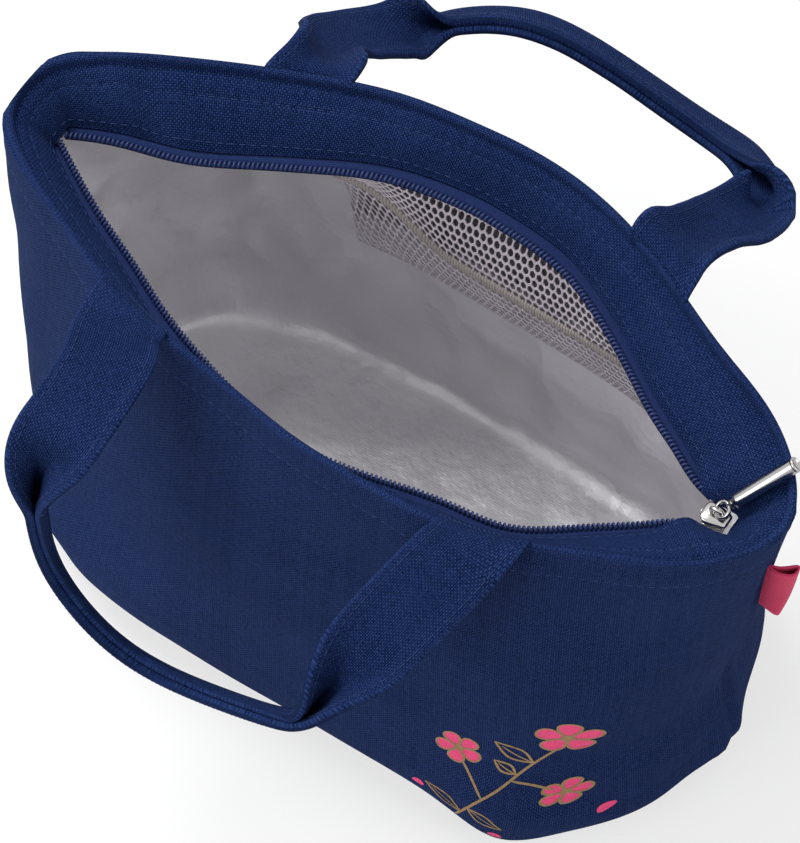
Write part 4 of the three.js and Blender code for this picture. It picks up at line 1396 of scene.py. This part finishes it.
class Skin:
    """Finds points on the outside of the front wall from a place on the print."""

    def __init__(self, points):
        self.points = points[BOTTOM_STEPS + 2:-len(RIM_OUTSIDE)]
        self.normal = grid_normals(points[:-len(RIM_OUTSIDE)])[BOTTOM_STEPS + 2:]
        self.heights = self.points[:, COLS // 2, 2]

    def place(self, spot, lift):
        row = np.interp(PRINT_Z + spot[1], self.heights, np.arange(len(self.heights)))
        low = int(min(row, len(self.heights) - 2))
        found = []
        for r in (low, low + 1):
            col = np.interp(PRINT_X + spot[0], self.points[r][:, 0], np.arange(COLS + 1))
            c = int(min(col, COLS - 1))
            raised = self.points[r][c:c + 2] + self.normal[r][c:c + 2] * lift
            found.append(mix(*raised, col - c))
        return mix(*found, row - low)


def add_line(piece, skin, line, width):
    line = route([(*spot, 0) for spot in line], 1.0)[:, :2]
    ahead = unit(np.gradient(line, axis=0))
    aside = np.stack([-ahead[:, 1], ahead[:, 0]], axis=1) * width / 2
    from_end = np.minimum(np.arange(len(line)), np.arange(len(line))[::-1])
    aside *= np.minimum(1.0, 0.45 + 0.3 * from_end)[:, None]
    points = [[skin.place(spot + way * d, PRINT_LIFT) for way in (-1, 0, 1)] for spot, d in zip(line, aside)]
    piece.grid(np.array(points), np.repeat(line[:, None], 3, axis=1), flip=True, slot=GOLD)


def add_fill(piece, skin, outline, slot, lift):
    middle = outline.mean(axis=0)
    rings = np.array([mix(middle, outline, share) for share in (0.02, 0.35, 0.7, 1.0)])
    points = np.array([[skin.place(spot, lift) for spot in ring] for ring in rings])
    piece.grid(points, rings, ring=True, flip=True, slot=slot)


def petal(middle, turn, reach, width):
    """A rounded petal that starts at the middle of a flower."""
    step = np.linspace(0, 2 * math.pi, 26, endpoint=False)
    along = reach * (0.58 - 0.42 * np.cos(step))
    across = width * np.sin(step) * (0.75 - 0.25 * np.cos(step))
    c, s = math.cos(turn), math.sin(turn)
    return np.array(middle) + np.stack([along * c - across * s, along * s + across * c], axis=1)


def make_print(canvas):
    skin = Skin(canvas)
    piece = Piece()
    for stem in STEMS:
        add_line(piece, skin, stem, STEM_LINE)
    for start, tip, width in LEAVES:
        start, tip = np.array(start, float), np.array(tip, float)
        aside = width * unit(np.array([start[1] - tip[1], tip[0] - start[0]]))
        for way in (-1, 1):
            add_line(piece, skin, (start, mix(start, tip, 0.45) + way * aside, tip), LEAF_LINE)
        vein = (start, mix(start, tip, 0.5) + 0.1 * aside, mix(start, tip, 0.8))
        add_line(piece, skin, vein, VEIN_LINE)
    for middle, reach, twist in FLOWERS:
        for k in range(5):
            outline = petal(middle, twist + k * 2 * math.pi / 5, reach, reach * PETAL_HALF_WIDTH)
            add_fill(piece, skin, outline, PINK, PRINT_LIFT * 0.6)
            add_line(piece, skin, [*outline, outline[0]], PETAL_LINE)
        turn = np.arange(12) * math.pi / 6
        heart = np.array(middle) + reach * HEART_RADIUS * np.stack([np.cos(turn), np.sin(turn)], axis=1)
        add_fill(piece, skin, heart, GOLD, PRINT_LIFT * 1.2)
    for middle, turn in FALLEN_PETALS:
        add_fill(piece, skin, petal(middle, turn, *FALLEN_SIZE), PINK, PRINT_LIFT)
    obj = piece.make("front_sprig_print", GOLD_INK, PINK_INK)
    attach(obj, "bag")


# Side tag: a folded ribbon loop
TAG_HEIGHT = 31.5
TAG_RAISE = 1.2
TAG_REACH_LOW = 8.8
TAG_REACH = 9.6
TAG_RIBBON = 0.7
TAG_SLANT = 1.8
TAG_LEAN = 0.07
TAG_SUNK = 1.4
TAG_MIDDLE = (2.0, 134.0)
TAG_BEND = 4.0
TAG_STEPS = 40
TAG_ROWS = 24


def make_tag():
    hinge = joint_place("side_tag_hinge")
    tag_low = corners("side_tag")[0]
    turn = np.linspace(-1, 1, TAG_STEPS + 1)
    reach = TAG_REACH * (1 - np.abs(turn) ** 2.4) ** 0.8 - 0.6
    bulge = 2.3 * np.sin(math.pi * turn) * (1 - 0.35 * np.abs(turn)) + 0.25 * turn
    line = even(np.stack([reach, bulge, np.zeros_like(turn)], axis=1), TAG_STEPS)
    levels = np.linspace(0, TAG_HEIGHT, TAG_ROWS)
    rows = []
    for z in levels:
        high = z / TAG_HEIGHT
        x = line[:, 0] * mix(TAG_REACH_LOW / TAG_REACH, 1.0, high)
        out = rise(x, 0, TAG_REACH)
        x = x + 0.5 * math.sin(z / 9.0) * out
        y = line[:, 1] * (0.45 + 0.5 * rise(z, 8, 28)) + (0.6 + 4.0 * high) * out * x / TAG_REACH
        rows.append(np.stack([
            x + tag_low[0] + TAG_LEAN * (z + TAG_RAISE) - TAG_SUNK,
            y + hinge[1] + TAG_SLANT * (1 - high),
            tag_low[2] + TAG_RAISE + z - 1.2 * out], axis=1))
    points = np.array(rows)
    edge = np.minimum(levels, TAG_HEIGHT - levels)[:, None]
    wear = np.broadcast_to(rise(edge, 2, 0), points.shape[:2])
    piece = Piece()
    free = rise(points[..., 0], tag_low[0] + 0.5, tag_low[0] + 3.5)
    piece.grid(points, grid_uv(points), weight=free, wear=wear)
    obj = piece.make("side_tag_ribbon", RIBBON)
    thicken(obj, TAG_RIBBON, 0.0)
    piece.blend(obj, "bag", "side_tag", (tag_low[0], *TAG_MIDDLE), (tag_low[0] + TAG_BEND, *TAG_MIDDLE))
    dress("side_tag")


# Studio, in metres. Lamps: name, place, power and size
FLOOR_REACH = 3.0
FLOOR_LEVEL = -0.0004
FLOOR_GLOW = 0.65
WORLD_LIGHT = 0.45
WHITE = (1.0, 1.0, 1.0, 1.0)
LAMP_AIM = Vector((0.0, 0.0, 0.09))
LAMPS = (
    ("key", (-0.75, 0.15, 1.45), 19.0, 0.8),
    ("fill", (-0.5, -1.3, 0.8), 9.0, 1.2),
    ("right", (1.3, 0.3, 0.9), 4.0, 1.0),
)
# The photograph's view, fitted to it: angles, frame and focus in pixels, and the camera's place
AZIMUTH, ELEVATION, ROLL = (math.radians(angle) for angle in (33.30, 62.25, 0.357))
FRAME_WIDTH, FRAME_HEIGHT = 800, 843
FOCUS, FOCUS_X, FOCUS_Y = 4343.77, 380.92, 416.51
CAMERA_PLACE = Vector((0.3644, -0.5612, 1.3770))
SENSOR = 36.0


def make_floor():
    """A pale floor that looks lighter to the camera alone, so that it keeps the bag's shadow."""
    mesh = bpy.data.meshes.new("floor")
    spots = ((-1, -1), (1, -1), (1, 1), (-1, 1))
    mesh.from_pydata([(a * FLOOR_REACH, b * FLOOR_REACH, FLOOR_LEVEL) for a, b in spots], [], [[0, 1, 2, 3]])
    graph = Graph("pale floor")
    base = graph.blend(graph.noise(3.0, 3.0), (0.93, 0.93, 0.93), (0.95, 0.95, 0.95))
    mesh.materials.append(graph.finish(base, 0.9, Specular_IOR_Level=0.1))
    seen = Term(graph, graph.node("ShaderNodeLightPath").outputs["Is Camera Ray"])
    pick = graph.node("ShaderNodeMixShader")
    graph.feed(pick.inputs[0], seen * FLOOR_GLOW)
    graph.feed(pick.inputs[1], graph.shader.outputs[0])
    graph.feed(pick.inputs[2], graph.node("ShaderNodeEmission").outputs[0])
    graph.feed(graph.tree.nodes["Material Output"].inputs["Surface"], pick.outputs[0])
    place_object("floor", mesh)


def make_lamp(name, place, power, size):
    data = bpy.data.lights.new(name, "AREA")
    data.energy = power
    data.shape = "DISK"
    data.size = size
    lamp = place_object(name, data)
    lamp.location = place
    lamp.rotation_euler = (LAMP_AIM - Vector(place)).to_track_quat("-Z", "Y").to_euler()


def make_world():
    """Even grey light, and a white background where the camera or a mirror looks past the floor."""
    world = bpy.data.worlds.new("studio")
    world.use_nodes = True
    tree = world.node_tree
    light, white = tree.nodes["Background"], tree.nodes.new("ShaderNodeBackground")
    light.inputs["Strength"].default_value = WORLD_LIGHT
    for background in (light, white):
        background.inputs["Color"].default_value = WHITE
    path = tree.nodes.new("ShaderNodeLightPath")
    sight = path.outputs["Is Camera Ray"]
    for kind in ("Is Glossy Ray", "Is Transmission Ray"):
        either = tree.nodes.new("ShaderNodeMath")
        either.operation = "MAXIMUM"
        tree.links.new(sight, either.inputs[0])
        tree.links.new(path.outputs[kind], either.inputs[1])
        sight = either.outputs[0]
    pick = tree.nodes.new("ShaderNodeMixShader")
    for socket, source in zip(pick.inputs, (sight, light.outputs[0], white.outputs[0])):
        tree.links.new(source, socket)
    tree.links.new(pick.outputs[0], tree.nodes["World Output"].inputs["Surface"])
    bpy.context.scene.world = world


def make_camera():
    """A long lens from the front right, high above the bag."""
    flat = math.cos(ELEVATION)
    back = Vector((math.sin(AZIMUTH) * flat, -math.cos(AZIMUTH) * flat, math.sin(ELEVATION)))
    side = Vector((0, 0, 1)).cross(back).normalized()
    over = back.cross(side)
    right = side * math.cos(ROLL) + over * math.sin(ROLL)
    up = over * math.cos(ROLL) - side * math.sin(ROLL)
    data = bpy.data.cameras.new("camera")
    data.sensor_fit = "VERTICAL"
    data.sensor_height = SENSOR
    data.lens = FOCUS * SENSOR / FRAME_HEIGHT
    data.shift_x = (FRAME_WIDTH / 2 - FOCUS_X) / FRAME_HEIGHT
    data.shift_y = (FOCUS_Y - FRAME_HEIGHT / 2) / FRAME_HEIGHT
    data.clip_end = 20.0
    camera = place_object("camera", data)
    camera.matrix_world = Matrix.Translation(CAMERA_PLACE) @ Matrix((right, up, back)).transposed().to_4x4()
    bpy.context.scene.camera = camera


make_camera()
for side in WORDS:
    canvas = make_outer(side)
    make_foam(side, canvas)
    if side < 0:
        make_print(canvas)
    make_lining(side)
    make_facing(side)
    make_tape(side)
    make_coil(side)
    make_handle(side)
make_net("pocket_net_upper", BINDING_HIGH - 1.0, POCKET_TOP, "pocket_upper_net")
make_net("pocket_net_lower", POCKET_BOTTOM, BINDING_LOW + 1.0, "pocket_lower_net")
make_binding()
make_slider()
make_pull()
dress_stops()
make_tag()
make_floor()
make_world()
for lamp in LAMPS:
    make_lamp(*lamp)
bpy.context.scene.view_settings.view_transform = "Standard"
